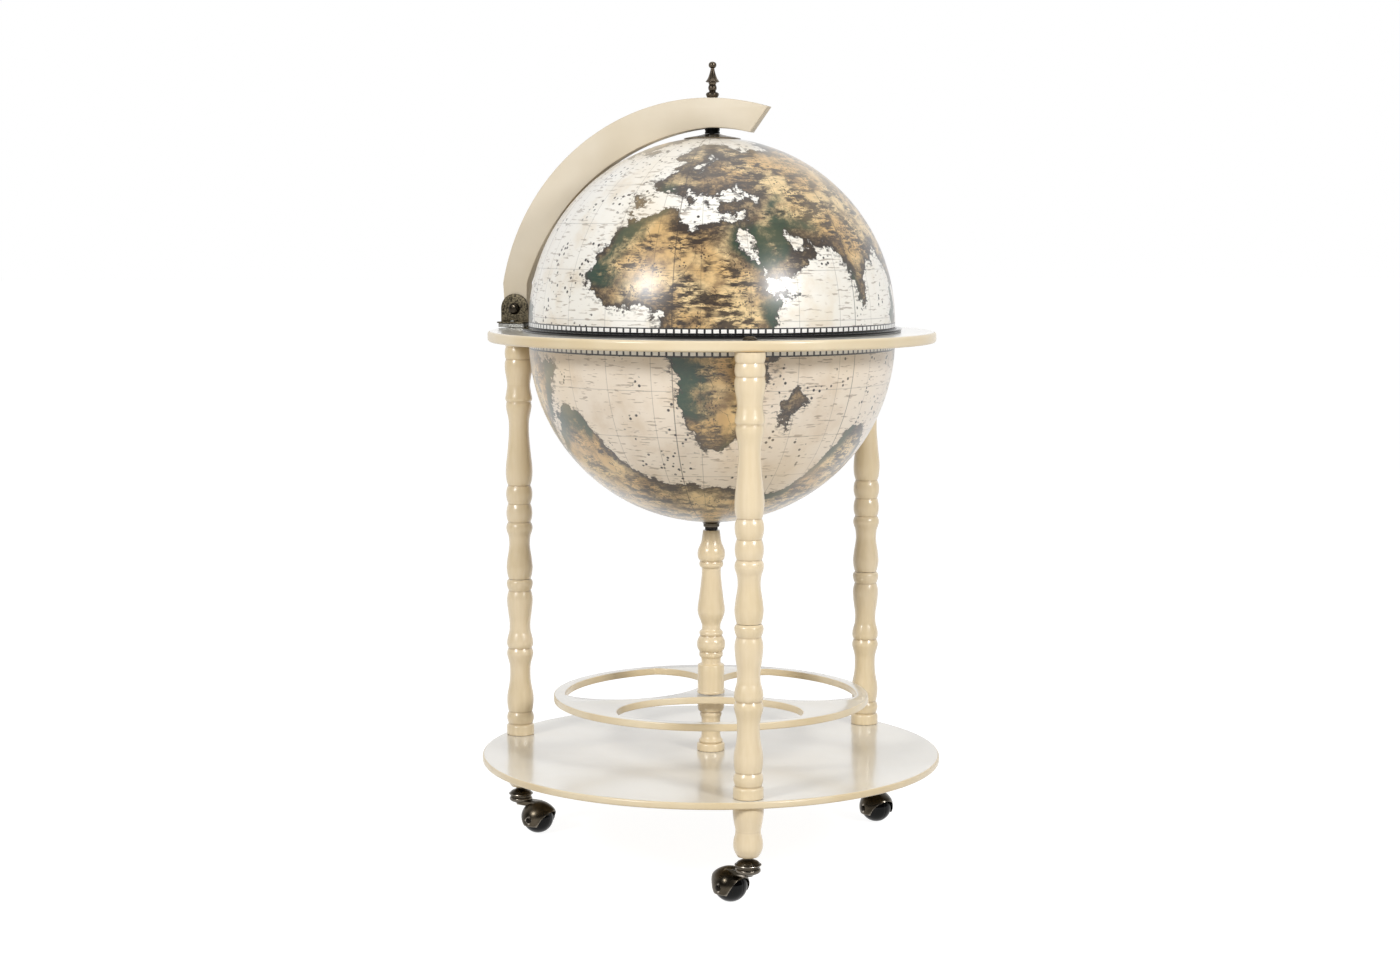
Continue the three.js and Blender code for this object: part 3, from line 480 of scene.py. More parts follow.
    def water(self, add: Adder, place: Socket, coast: Socket) -> Layers:
        """Cream paper with stains, engraved ripples, strokes along the coast and scattered islets.

        Args:
            add: Adds a node to the material.
            place: Coordinates in metres.
            coast: Degrees inland.

        Returns:
            Shares and colours, from the lowest up.
        """
        water = add("MapRange", {"Value": coast, "From Min": 0.12, "From Max": -0.05})
        limits = {"Value": coast, "From Min": -3.0, "From Max": -0.2}
        near = add("MapRange", limits, interpolation_type="SMOOTHSTEP")
        off = add("MapRange", {"Value": coast, "From Min": -0.6, "From Max": -1.6})
        cells = add("TexVoronoi", {"Vector": place, "Scale": 1 / (6.5 * MM)})
        limits = {"Value": cells, "From Min": 0.31, "From Max": 0.2}
        dots = add("MapRange", limits, interpolation_type="SMOOTHSTEP")
        marks = (
            (Patches(55.0, 5.0, 0.45, 0.72, 0.9, rough=0.6), water, self.stain),
            (Patches(2.6, 3.0, 0.5, 0.6, 0.8, (0.35, 0.35, 1.0)), near, self.umber),
            (Patches(3.6, 2.0, 0.6, 0.66, 0.55, (0.22, 0.22, 1.6)), off, self.brown),
            (Patches(34.0, 2.0, 0.55, 0.6), add("Math", {0: dots, 1: off}, operation="MULTIPLY"), self.ink),
        )
        layers: Layers = [(water, self.sea)]
        for patches, limit, colour in marks:
            share = patches.share(add, place)
            share = add("Math", {0: share, 1: limit}, operation="MULTIPLY")
            layers.append((add("Math", {0: share, 1: water}, operation="MULTIPLY"), colour))
        return layers

    def lines(self, add: Adder, place: Socket, coast: Socket) -> Layers:
        """The coast line, meridians and parallels, gore seams, yellowed varnish and the graduated band.

        Args:
            add: Adds a node to the material.
            place: Coordinates in metres.
            coast: Degrees inland.

        Returns:
            Shares and colours, from the lowest up.
        """
        shore = add("Math", {0: coast}, operation="ABSOLUTE")
        shore = add("MapRange", {"Value": shore, "From Min": 0.42, "From Max": 0.12, "To Max": 0.9})
        layers: Layers = [(shore, self.ink)]
        middle = add("VectorMath", {0: place, 1: (0.0, 0.0, -self.centre * MM)}, operation="ADD")
        x, y, z = (add("SeparateXYZ", {0: middle}, output=axis) for axis in range(3))
        turn = add("Math", {0: y, 1: x}, operation="ARCTAN2")
        square = add("Math", {0: y, 1: y}, operation="MULTIPLY")
        reach = add("Math", {0: x, 1: x, 2: square}, operation="MULTIPLY_ADD")
        reach = add("Math", {0: reach}, operation="SQRT")
        rise = add("Math", {0: z, 1: reach}, operation="ARCTAN2")
        radius = LEVELS.globe_radius * MM
        for angle, narrow, degrees, width_mm, strength in (
            (turn, reach, self.grid_degrees, 0.55, 0.35),
            (rise, radius, self.grid_degrees, 0.55, 0.35),
            (turn, reach, self.gore_degrees, 0.8, 0.65),
        ):
            pitch = math.radians(degrees)
            share = add("Math", {0: angle, 1: 1 / pitch, 2: self.line_turn}, operation="MULTIPLY_ADD")
            share = add("Math", {0: share}, operation="FRACT")
            share = add("Math", {0: share, 1: 0.5}, operation="SUBTRACT")
            share = add("Math", {0: share}, operation="ABSOLUTE")
            away = add("Math", {0: share, 1: pitch}, operation="MULTIPLY")
            away = add("Math", {0: away, 1: narrow}, operation="MULTIPLY")
            limits = {"From Min": width_mm * MM, "From Max": width_mm * MM / 2, "To Max": strength}
            layers.append((add("MapRange", {"Value": away, **limits}), self.umber))
        layers.append((Patches(140.0, 2.0, 0.5, 0.8, 0.35).share(add, place), self.yellowed))
        height = add("SeparateXYZ", {0: place}, output=2)
        count = add("Math", {0: turn, 1: self.squares / (2 * math.pi)}, operation="MULTIPLY")
        count = add("Math", {0: count}, operation="FRACT")
        white = add("Math", {0: count, 1: self.white_share}, operation="LESS_THAN")
        for low, high, limit, colour in ((*self.border, 1.0, self.black), (*self.band, white, self.white)):
            above = add("Math", {0: height, 1: low * MM}, operation="GREATER_THAN")
            below = add("Math", {0: height, 1: high * MM}, operation="LESS_THAN")
            inside = add("Math", {0: above, 1: below}, operation="MULTIPLY")
            layers.append((add("Math", {0: inside, 1: limit}, operation="MULTIPLY"), colour))
        return layers


# Coasts, as longitude and latitude in degrees, drawn from general knowledge
COASTS: list[Span] = [
    [(-168, 66), (-156, 71), (-128, 70), (-110, 68), (-95, 69), (-82, 68), (-80, 62), (-94, 59), (-88, 56),
     (-82, 53), (-79, 52), (-77, 57), (-78, 62), (-70, 61), (-64, 59), (-56, 52), (-66, 49), (-61, 46),
     (-70, 43), (-74, 40), (-76, 35), (-81, 31), (-80, 25), (-83, 29), (-90, 30), (-97, 27), (-97, 21),
     (-91, 18), (-87, 21), (-88, 16), (-83, 15), (-83, 10), (-78, 9), (-86, 11), (-92, 14), (-97, 16),
     (-105, 20), (-109, 25), (-114, 31), (-117, 33), (-122, 37), (-124, 48), (-130, 54), (-140, 60),
     (-150, 60), (-158, 57), (-165, 60)],
    [(-78, 8), (-72, 12), (-62, 10), (-52, 5), (-50, 0), (-42, -3), (-35, -6), (-39, -13), (-41, -22),
     (-48, -26), (-53, -33), (-58, -38), (-63, -41), (-66, -46), (-69, -52), (-74, -52), (-74, -45),
     (-73, -37), (-71, -30), (-70, -18), (-76, -14), (-81, -5), (-80, 1), (-77, 4)],
    [(-17, 15), (-13, 8), (-8, 4.5), (2, 6), (9, 4), (9, -1), (13, -8), (12, -17), (15, -27), (18, -34),
     (26, -34), (32, -28), (35, -24), (35, -20), (40, -15), (39, -5), (44, 2), (51, 11), (43, 11), (38, 18),
     (33, 28), (32, 31), (20, 31), (11, 34), (10, 37), (-2, 35), (-6, 36), (-10, 30), (-17, 21)],
    [(-9, 37), (-9, 43), (-1, 44), (-4, 48), (2, 51), (8, 54), (10, 57), (12, 54), (20, 55), (24, 59),
     (30, 60), (24, 66), (18, 62), (17, 57), (12, 56), (10, 59), (5, 60), (12, 66), (20, 70), (30, 70),
     (41, 67), (44, 66), (54, 69), (68, 69), (73, 72), (85, 74), (105, 78), (113, 74), (130, 72), (150, 71),
     (170, 70), (179, 68), (178, 62), (165, 60), (157, 51), (156, 57), (143, 59), (137, 54), (141, 52),
     (135, 43), (129, 40), (129, 35), (126, 37), (122, 40), (118, 39), (122, 37), (120, 34), (122, 30),
     (117, 23), (109, 21), (106, 19), (109, 12), (105, 9), (100, 13), (103, 2), (99, 8), (98, 16), (92, 22),
     (87, 21), (80, 15), (80, 10), (77, 8), (73, 17), (70, 22), (62, 25), (57, 27), (50, 30), (48, 30),
     (52, 24), (56, 26), (59, 22), (52, 16), (44, 13), (39, 21), (35, 28), (34, 31), (36, 36), (27, 37),
     (27, 41), (35, 42), (41, 42), (38, 47), (33, 46), (29, 45), (28, 42), (23, 40), (23, 37), (19, 42),
     (13, 45), (18, 40), (16, 38), (11, 43), (8, 44), (3, 43), (0, 40), (-2, 37)],
    [(-73, 78), (-60, 82), (-30, 83), (-18, 78), (-22, 70), (-40, 65), (-43, 60), (-51, 64), (-54, 70),
     (-68, 76)],
    [(114, -22), (122, -18), (129, -15), (136, -12), (141, -17), (142, -11), (146, -19), (153, -26),
     (150, -37), (144, -38), (138, -35), (131, -31), (124, -33), (115, -34)],
    [(109, 1), (117, 6), (118, 1), (115, -4), (110, -3)],
    [(95, 5), (104, -2), (106, -6), (101, -3)],
    [(131, -1), (141, -3), (150, -9), (143, -9), (138, -8), (133, -4)],
    [(44, -16), (49, -13), (50, -16), (47, -25), (44, -23)],
    [(130, 32), (136, 35), (141, 41), (141, 36), (135, 33)],
    [(-5, 50), (1, 52), (-2, 56), (-4, 58), (-6, 56), (-4, 53)],
    [(-24, 65), (-14, 65), (-16, 66.5), (-22, 66.5)],
    [(172, -35), (178, -38), (175, -41), (168, -46), (171, -42)],
]


# The great southern land of old maps: its shore, its waves, and its capes as longitude, half width, rise
SOUTH_SHORE = -50.0
SOUTH_WAVE = 3.0
SOUTH_CAPES = ((-30.0, 20.0, 30.0), (80.0, 16.0, 24.0), (-120.0, 25.0, 18.0))


def inland_degrees(lon: np.ndarray, lat: np.ndarray) -> np.ndarray:
    """Measures how far inside a coast each point lies, negative at sea.

    Args:
        lon: Longitudes in degrees.
        lat: Latitudes in degrees.

    Returns:
        Degrees from the nearest coast, positive on land, with the great southern land of old maps.
    """
    round_lon = (lon + 180) % 360 - 180
    best = SOUTH_SHORE - lat + SOUTH_WAVE * np.sin(np.radians(5 * lon))
    for middle, half, rise in SOUTH_CAPES:
        best += rise * np.exp(-(((round_lon - middle) / half) ** 2))
    squeeze = np.maximum(np.cos(np.radians(lat)), 0.15)
    for coast in COASTS:
        corners = np.array(coast, float)
        middle = corners[:, 0].mean()
        east = (lon - middle + 180) % 360 - 180
        inside = np.zeros(len(lon), bool)
        nearest = np.full(len(lon), 1e9)
        for start, end in zip(corners, np.roll(corners, -1, axis=0)):
            ax, ay, bx, by = start[0] - middle, start[1], end[0] - middle, end[1]
            crosses = (ay > lat) != (by > lat)
            at = ax + (lat - ay) / ((by - ay) or 1e-9) * (bx - ax)
            inside ^= crosses & (east < at)
            dx, dy = (bx - ax) * squeeze, by - ay
            px, py = (east - ax) * squeeze, lat - ay
            along = np.clip((px * dx + py * dy) / (dx * dx + dy * dy + 1e-9), 0, 1)
            nearest = np.minimum(nearest, np.hypot(px - along * dx, py - along * dy))
        best = np.maximum(best, np.where(inside, nearest, -nearest))
    return best


# Mesh building

SHARP_TURNED = 38.0  # edges that turn more degrees than this stay sharp
SHARP_JOINED = 35.0
UPRIGHT = Matrix.Identity(4)
MITRE_LIMIT = 0.4  # least share to which a sharp corner of an outline is inset
LEVEL_FACE = 0.99  # upward part of a face's normal from which it counts as the top


def smooth_span(points: Span, per_step: int = 5) -> Span:
    """Runs a smooth curve through the points of one bead or hollow.

    Args:
        points: At least two points; two give a straight line.
        per_step: Parts that each stretch between two points is cut into.

    Returns:
        The finer points, with both ends kept.
    """
    if len(points) < 3:
        return list(points)
    known = np.array(points, float)
    steps = np.maximum(np.linalg.norm(np.diff(known, axis=0), axis=1), 1e-6)
    knots = np.concatenate([[0], np.cumsum(np.sqrt(steps))])
    slopes = np.gradient(known, knots, axis=0)
    fine: Span = []
    for i in range(len(known) - 1):
        width = knots[i + 1] - knots[i]
        for j in range(per_step):
            t = j / per_step
            a, b = 2 * t**3 - 3 * t**2 + 1, t**3 - 2 * t**2 + t
            c, d = -2 * t**3 + 3 * t**2, t**3 - t**2
            point = a * known[i] + b * width * slopes[i] + c * known[i + 1] + d * width * slopes[i + 1]
            fine.append((float(point[0]), float(point[1])))
    return fine + [points[-1]]


def smooth_profile(spans: list[Span], per_step: int = 5) -> Span:
    """Joins the smooth curves of several spans, which meet in grooves.

    Args:
        spans: Spans of height and radius, each starting where the last one ends.
        per_step: See smooth_span.

    Returns:
        Radius and height pairs from bottom to top.
    """
    joined: Span = []
    for span in spans:
        for height, radius in smooth_span(span, per_step):
            if not joined or (radius, height) != joined[-1]:
                joined.append((radius, height))
    return joined


def arc_points(centre: Point, radius: float, start: float, end: float, steps: int) -> Span:
    """Points of an arc from one angle to another, in degrees."""
    turns = [math.radians(start + (end - start) * i / steps) for i in range(steps + 1)]
    return [(centre[0] + radius * math.cos(t), centre[1] + radius * math.sin(t)) for t in turns]


def shade(mesh: bpy.types.Mesh, sharp: float) -> None:
    """Shades a mesh smooth, but for the edges that turn more than so many degrees."""
    mesh.shade_smooth()
    mesh.set_sharp_from_angle(angle=math.radians(sharp))


def make_piece(name: str, points: Points, faces: Faces, place: Matrix | None = None) -> Piece:
    """Makes a mesh object from points in millimetres.

    Args:
        name: The object's name.
        points: Coordinates of each point.
        faces: Corner indices of each face, counter-clockwise from outside.
        place: Turns and moves the points to the object's frame.

    Returns:
        The new object, in metres, at the origin.
    """
    cloud = np.array(points)
    if place is not None:
        cloud = np.array([tuple(place @ Vector(p)) for p in cloud])
    mesh = bpy.data.meshes.new(name)
    mesh.from_pydata((cloud * MM).tolist(), [], faces)
    mesh.update()
    shade(mesh, SHARP_TURNED)
    piece = bpy.data.objects.new(name, mesh)
    bpy.context.scene.collection.objects.link(piece)
    return piece


def turned(
    name: str,
    profile: Span,
    sides: int,
    centre: Point = (0.0, 0.0),
    closed: bool = False,
    place: Matrix | None = None,
) -> Piece:
    """Turns a profile round a vertical axis.

    Args:
        name: The object's name.
        profile: Radius and height pairs, with the outside on the right hand going up.
        sides: Steps round the axis.
        centre: The axis in the plan.
        closed: Whether the last pair joins the first one, as in a ring.
        place: See make_piece.

    Returns:
        The new object.
    """
    turns = np.arange(sides) * 2 * math.pi / sides
    x, y = centre
    points: Points = []
    rings: list[list[int]] = []
    for radius, height in profile:
        first = len(points)
        if radius < 1e-4:
            points.append((x, y, height))
            rings.append([first] * sides)
        else:
            points += [(x + radius * math.cos(t), y + radius * math.sin(t), height) for t in turns]
            rings.append(list(range(first, first + sides)))
    faces: Faces = []
    pairs = list(zip(rings, rings[1:])) + ([(rings[-1], rings[0])] if closed else [])
    for low, high in pairs:
        for i in range(sides):
            j = (i + 1) % sides
            corners = [low[i], low[j], high[j], high[i]]
            unique = [c for n, c in enumerate(corners) if c not in corners[:n]]
            if len(unique) > 2:
                faces.append(tuple(unique))
    return make_piece(name, points, faces, place)


def eased_plate(
    name: str, outlines: list[Span], low: float, high: float, ease: float, place: Matrix | None = None
) -> Piece:
    """Makes a flat plate with openings and rounded edges.

    Args:
        name: The object's name.
        outlines: The outer outline counter-clockwise, then each opening clockwise, in millimetres.
        low: Height of the lower face.
        high: Height of the upper face.
        ease: Radius of the rounding along every edge.
        place: See make_piece.

    Returns:
        The new object.
    """
    rows = [(ease * (1 - math.sin(t)), low + ease * (1 - math.cos(t))) for t in np.radians([0, 30, 60, 90])]
    rows += [(inset, low + high - height) for inset, height in reversed(rows)]
    points: Points = []
    faces: Faces = []
    caps: list[list[list[int]]] = [[], []]
    for outline in outlines:
        line = np.array(outline, float)
        ahead = np.roll(line, -1, axis=0) - line
        ahead /= np.linalg.norm(ahead, axis=1)[:, None] + 1e-12
        back = np.roll(ahead, 1, axis=0)
        normal = np.stack([-(ahead + back)[:, 1], (ahead + back)[:, 0]], axis=1)
        normal /= (1 + (ahead * back).sum(1))[:, None].clip(MITRE_LIMIT)
        rings = []
        for inset, height in rows:
            first = len(points)
            points += [(x, y, height) for x, y in line + normal * inset]
            rings.append(list(range(first, first + len(line))))
        for below, above in zip(rings, rings[1:]):
            for i in range(len(line)):
                j = (i + 1) % len(line)
                faces.append((below[i], below[j], above[j], above[i]))
        caps[0].append(rings[0])
        caps[1].append(rings[-1])
    for loops, upper in ((caps[0], False), (caps[1], True)):
        order = [index for loop in loops for index in loop]
        for tri in tessellate_polygon([[Vector(points[i]) for i in loop] for loop in loops]):
            a, b, c = (np.array(points[order[i]]) for i in tri)
            up = np.cross(b - a, c - a)[2] > 0
            corners = tuple(order[i] for i in tri)
            faces.append(corners if up == upper else corners[::-1])
    return make_piece(name, points, faces, place)


def cut_and_join(base: Piece, steps: list[tuple[str, Piece]]) -> Piece:
    """Cuts and joins helper bodies with a piece, then deletes the helpers.

    Args:
        base: The piece that changes.
        steps: Pairs of UNION or DIFFERENCE and the helper body.

    Returns:
        The same piece with its new mesh.
    """
    for operation, helper in steps:
        change = base.modifiers.new(operation, "BOOLEAN")
        change.operation = operation
        change.solver = "EXACT"
        change.object = helper
    bpy.context.view_layer.update()
    mesh = bpy.data.meshes.new_from_object(base.evaluated_get(bpy.context.evaluated_depsgraph_get()))
    base.modifiers.clear()
    base.data = mesh
    shade(mesh, SHARP_JOINED)
    for _, helper in steps:
        bpy.data.objects.remove(helper)
    return base


def points_of(piece: Piece) -> np.ndarray:
    """Reads the points of a piece.

    Args:
        piece: The piece, with its mesh in metres.

    Returns:
        One row of millimetres for each point.
    """
    flat = np.zeros(len(piece.data.vertices) * 3, np.float32)
    piece.data.vertices.foreach_get("co", flat)
    return flat.reshape(-1, 3) / MM


def store_values(piece: Piece, name: str, values: np.ndarray) -> None:
    """Stores one number on each point of a piece, for its finish to read."""
    store = piece.data.attributes.new(name, "FLOAT", "POINT")
    store.data.foreach_set("value", values.astype(np.float32))


def store_grooves(piece: Piece, profile: Span, reach_mm: float = 2.6, depth_mm: float = 1.3) -> None:
    """Stores on each point of a turned piece how deep it lies in a groove, for the painted shade there.

    Args:
        piece: The turned piece.
        profile: The pairs that it was turned from, without a level face between its ends.
        reach_mm: How far along the piece its neighbours are looked at.
        depth_mm: Depth below the lower neighbour that counts as a full groove.
    """
    radii, heights = np.array(profile[1:-1]).T
    along = heights[None, :] - heights[:, None]
    crests = []
    for turn in (1, -1):
        near = (turn * along >= 0) & (turn * along < reach_mm)
        crests.append(np.where(near, radii[None, :], 0).max(axis=1))
    depth = np.clip((np.minimum(*crests) - radii) / depth_mm, 0, 1)
    store_values(piece, "groove", np.interp(points_of(piece)[:, 2], heights, depth))


def paint_top(piece: Piece) -> None:
    """Gives a board's level upper face the second of its finishes: the polished top, paler and greyer with a
    painted reflection.
    """
    for face in piece.data.polygons:
        if face.normal.z > LEVEL_FACE:
            face.material_index = 1


# Workshop


class Look(Enum):
    """The finishes of this object's pieces."""

    TURNED = TurnedLacquer()
    EDGE = BoardLacquer(
        "cream_lacquered_board_edge", "#DCC8A2", "#E7D8BA", roughness=0.32, constants=varnish(0.3, 0.14)
    )
    FACE = BoardLacquer(
        "cream_lacquered_board_face", "#D4C7AF", "#DDD2BE", roughness=0.5, constants=varnish(0.0, 0.14)
    )
    # the polished top: its paler, greyer colour than the edge is a painted reflection of the white room
    GLOSS = BoardLacquer("polished_cream_board_top", "#E8E3D7", "#EDEAE2", constants=varnish(1.0, 0.14, 1.8))
    BRONZE = AntiqueBronze("antique_bronze_casting")
    # a paler copy of the bronze for the finial and the rosette: rubbed wear, partly a painted highlight for
    # their gleam
    RUBBED = AntiqueBronze("rubbed_bronze_turning", "#544B40", "#8C7F6D", edge="#CFC6B8")
    # near black axle ends: partly dark steel, partly painted shade of a recessed hole
    RIVET = AntiqueBronze("blackened_steel_rivet", "#12100E", "#26221E", edge="#37322C")
    HAMMERED = AntiqueBronze(
        "hammered_bronze_plate", "#2C2822", "#706753", (Patches(2.0, 4.0, 0.4, 0.62, rough=0.65),),
        (0.3, 0.5), Patches(2.0, 4.0), 0.05, edge="#8E846F",
    )
    PLASTIC = GlossyPlastic()
    STEEL = ZincSteel()
    RUBBER = MattCoat(
        "black_moulded_rubber", "#121110", "#262423", (Patches(4.0), Patches(0.8)), 0.75, Patches(0.8)
    )
    LINING = MattCoat(
        "pasted_lining_paper", "#C7A673", "#E2CCA0",
        (Patches(45.0, 4.0, 0.35, 0.65, 0.6), Patches(1.2, 5.0, 0.3, 0.7, 0.4)),
        0.7, Patches(1.2, 5.0, 0.3, 0.7, 0.4),
    )
    LID_MAP = GlobePrint("varnished_globe_print_upper")
    BOWL_MAP = GlobePrint(
        "varnished_globe_print_lower", centre=LEVELS.bowl_centre,
        band=(589.6, 593.6), border=(588.0, 611.0), sea="#EDE1D1", stain="#DAC8B1",
    )


class Workshop:
    """Keeps the finished materials and fits each fine piece to the solids that it stands for."""

    look_of_slot: dict[str, Look] = {
        "cream_lacquer": Look.TURNED,
        "cream_gloss": Look.FACE,
        "antique_bronze": Look.BRONZE,
        "steel": Look.STEEL,
        "black_plastic": Look.PLASTIC,
        "rubber": Look.RUBBER,
        "printed_map": Look.LINING,
    }

    def __init__(self) -> None:
        """Builds every finish once and notes the body of every solid."""
        self.materials = {look: look.value.build() for look in Look}
        bodies = frame["record"]["behaviour"]["bodies"]
        self.body_of = {node: body for body, nodes in bodies.items() for node in nodes}
        self.replaced: set[str] = set()

    def fit(self, piece: Piece, nodes: tuple[str, ...], slot: str, *looks: Look) -> None:
        """Dresses a fine piece and lets it stand for its solids.

        Args:
            piece: The fine piece.
            nodes: The solids that it stands for, all in one body.
            slot: The record's material slot; not used.
            *looks: Finishes in the order of the mesh's material indices.
        """
        for look in looks:
            piece.data.materials.append(self.materials[look])
        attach(piece, self.body_of[nodes[0]])
        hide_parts(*nodes)
        self.replaced.update(nodes)
        LOG.info("%s stands for %s", piece.name, ", ".join(nodes))

    def dress_solids(self) -> None:
        """Gives every solid that still shows the finish of its slot."""
        slots = {part["node"]: part["material_slot"] for part in frame["record"]["subparts"]}
        for name, solid in frame["nodes"].items():
            if name in self.replaced:
                continue
            solid.data.materials.clear()
            solid.data.materials.append(self.materials[self.look_of_slot[slots[name]]])
            LOG.info("%s keeps its solid", name)


# Sub-assemblies


@dataclass
class SubAssembly:
    """A group of pieces that are made and fitted together.

    Attributes:
        shop: Dresses each piece and fits it to its solids.
    """

    shop: Workshop

    def build_turning(
        self, name: str, node: str, spans: list[Span], sides: int,
        centre: Point = (0.0, 0.0), share: float = 1.0,
    ) -> None:
        """Builds one lacquered wood turning that stands over the base board.

        Args:
            name: The piece's name.
            node: Its solid.
            spans: Height over the board and radius along each bead or hollow.
            sides: Steps round the axis.
            centre: The axis in the plan.
            share: Factor on every radius.
        """
        profile = [(r * share, LEVELS.board_top + z) for r, z in smooth_profile(spans)]
        profile = [(0.0, profile[0][1])] + profile + [(0.0, profile[-1][1])]
        piece = turned(name, profile, sides, centre)
        store_grooves(piece, profile)
        self.shop.fit(piece, (node,), "cream_lacquer", Look.TURNED)


@dataclass
class Stand(SubAssembly):
    """The base board, the horizon ring and three legs with their feet."""

    board_ease: float = 2.4
    ring_ease: float = 3.2
    screw_radius: float = 8.0
    screw_height: float = 4.0
    shank_radius: float = 3.5
    shank_length: float = 30.0
    screw_dome: list[Span] = field(default_factory=lambda: [
        [(0, 0.97), (0.14, 1.0), (0.3, 0.97)], [(0.3, 0.97), (0.62, 0.82), (0.86, 0.5), (1, 0.0)]
    ])
    foot: list[Span] = field(default_factory=lambda: [
        [(-8.3, 16.2), (-9.5, 16.7), (-16, 16.7), (-23, 15.9), (-31, 14.5), (-35, 13.8), (-39, 14.1),
         (-43, 15.1), (-47, 15.9), (-51, 16.1), (-55, 15.7), (-58.5, 14.5), (-61.2, 13.2), (-63.6, 11.6)],
    ])
    lower_leg: list[Span] = field(default_factory=lambda: [
        [(0.3, 15.8), (0.9, 16.4)],
        [(0.9, 16.4), (10.6, 16.4)],
        [(10.6, 16.4), (11.9, 15.8), (13, 14.3)],
        [(13, 14.3), (16, 15.1), (19, 15.9), (21.5, 16.1), (25, 15.4), (28, 14.0)],
        [(28, 14.0), (31, 14.8), (36, 15.5), (43, 15.9), (50, 15.4), (57, 14.0), (67, 12.5), (77, 12.2),
         (84, 12.5), (89, 13.5), (94, 14.9), (98.5, 15.8), (101.5, 15.4), (105.5, 14.0)],
        [(105.5, 14.0), (108, 15.2), (111.5, 15.7), (116, 15.2), (121, 14.0), (125, 12.9), (133, 12.4),
         (140, 12.8), (147, 13.8), (157, 15.0), (164, 15.4), (169, 14.9), (175, 13.3)],
        [(175, 13.3), (178, 14.5), (181, 15.3), (184, 15.6), (186.5, 15.1), (188.7, 13.3)],
    ])
    upper_leg: list[Span] = field(default_factory=lambda: [
        [(189.3, 13.2), (192, 14.0), (196, 14.9), (203, 15.6), (208, 15.2), (215, 14.4), (222, 13.2),
         (230, 12.3), (237, 12.6), (242, 13.5), (246, 14.9), (250, 15.7), (254, 15.2), (257.5, 13.4)],
        [(257.5, 13.4), (261, 14.6), (267, 15.5), (274, 14.9), (279.5, 13.3)],
        [(279.5, 13.3), (285, 15.0), (291, 15.7), (297, 15.0), (301.5, 13.3)],
        [(301.5, 13.3), (305, 14.5), (309, 15.3), (316, 15.9), (326, 15.6), (333, 14.8), (343, 13.7),
         (352, 12.9), (362, 12.1), (371, 11.9), (378, 12.1), (385, 13.3), (393, 14.9), (397, 15.2),
         (401.5, 14.5)],
        [(401.5, 14.5), (403, 15.6), (405.5, 16.0), (412, 14.9), (421, 13.7), (430, 14.7), (437, 16.0),
         (443, 16.5), (448, 16.2), (452, 15.2)],
        [(452, 15.2), (455, 16.1), (459, 16.4), (463, 16.0), (466.5, 15.1)],
        [(466.5, 15.1), (470, 16.2), (474, 16.6), (477.7, 16.4)],
    ])

    def build(self) -> None:
        """Builds the board, the ring and the legs."""
        levels = (LEVELS.board_bottom, LEVELS.board_top)
        self.build_disc("round_base_board", "base_board", (0.0, LEVELS.board_radius), levels, self.board_ease)
        radii = (LEVELS.ring_inner, LEVELS.ring_outer)
        levels = (LEVELS.ring_bottom, LEVELS.ring_top)
        self.build_disc("horizon_ring_board", "horizon_ring", radii, levels, self.ring_ease)
        for leg in Leg:
            self.build_leg(leg)

    def build_disc(self, name: str, node: str, radii: Point, levels: Point, ease: float) -> None:
        """Builds a round board or ring with an eased outer edge and a polished top.

        Args:
            name: The piece's name.
            node: Its solid.
            radii: Inner and outer radius, where zero leaves no hole.
            levels: Heights of the lower and the upper face.
            ease: Radius of the easing.
        """
        (inner, outer), (low, high) = radii, levels
        side = outer - ease
        profile = [(inner, low), (side - 1, low)] + arc_points((side, low + ease), ease, -90, 0, 6)
        profile += arc_points((side, high - ease), ease, 0, 90, 6) + [(side - 1, high), (inner, high)]
        disc = turned(name, profile, 192, closed=inner > 0)
        paint_top(disc)
        self.shop.fit(disc, (node,), "cream_gloss", Look.EDGE, Look.GLOSS)

    def build_leg(self, leg: Leg) -> None:
        """Builds one leg's two lengths, its foot and its domed screw.

        Args:
            leg: Which leg.
        """
        for label, node, spans in (
            ("turned_foot", "foot", [list(reversed(span)) for span in reversed(self.foot)]),
            ("turned_lower_leg", "lower_leg", self.lower_leg),
            ("turned_upper_leg", "upper_leg", self.upper_leg),
        ):
            self.build_turning(f"{label}_{leg.label}", f"{node}_{leg.label}", spans, 64, leg.centre)
        base, foot = LEVELS.ring_top + LEVELS.seat_gap, self.shank_length
        profile = [(0.0, base - foot), (self.shank_radius, base - foot), (self.shank_radius, base)]
        for share, height in smooth_profile(self.screw_dome):
            profile.append((self.screw_radius * share, base + self.screw_height * height))
        screw = turned(f"domed_leg_screw_{leg.label}", profile, 48, leg.centre)
        self.shop.fit(screw, (f"leg_screw_{leg.label}",), "antique_bronze", Look.BRONZE)


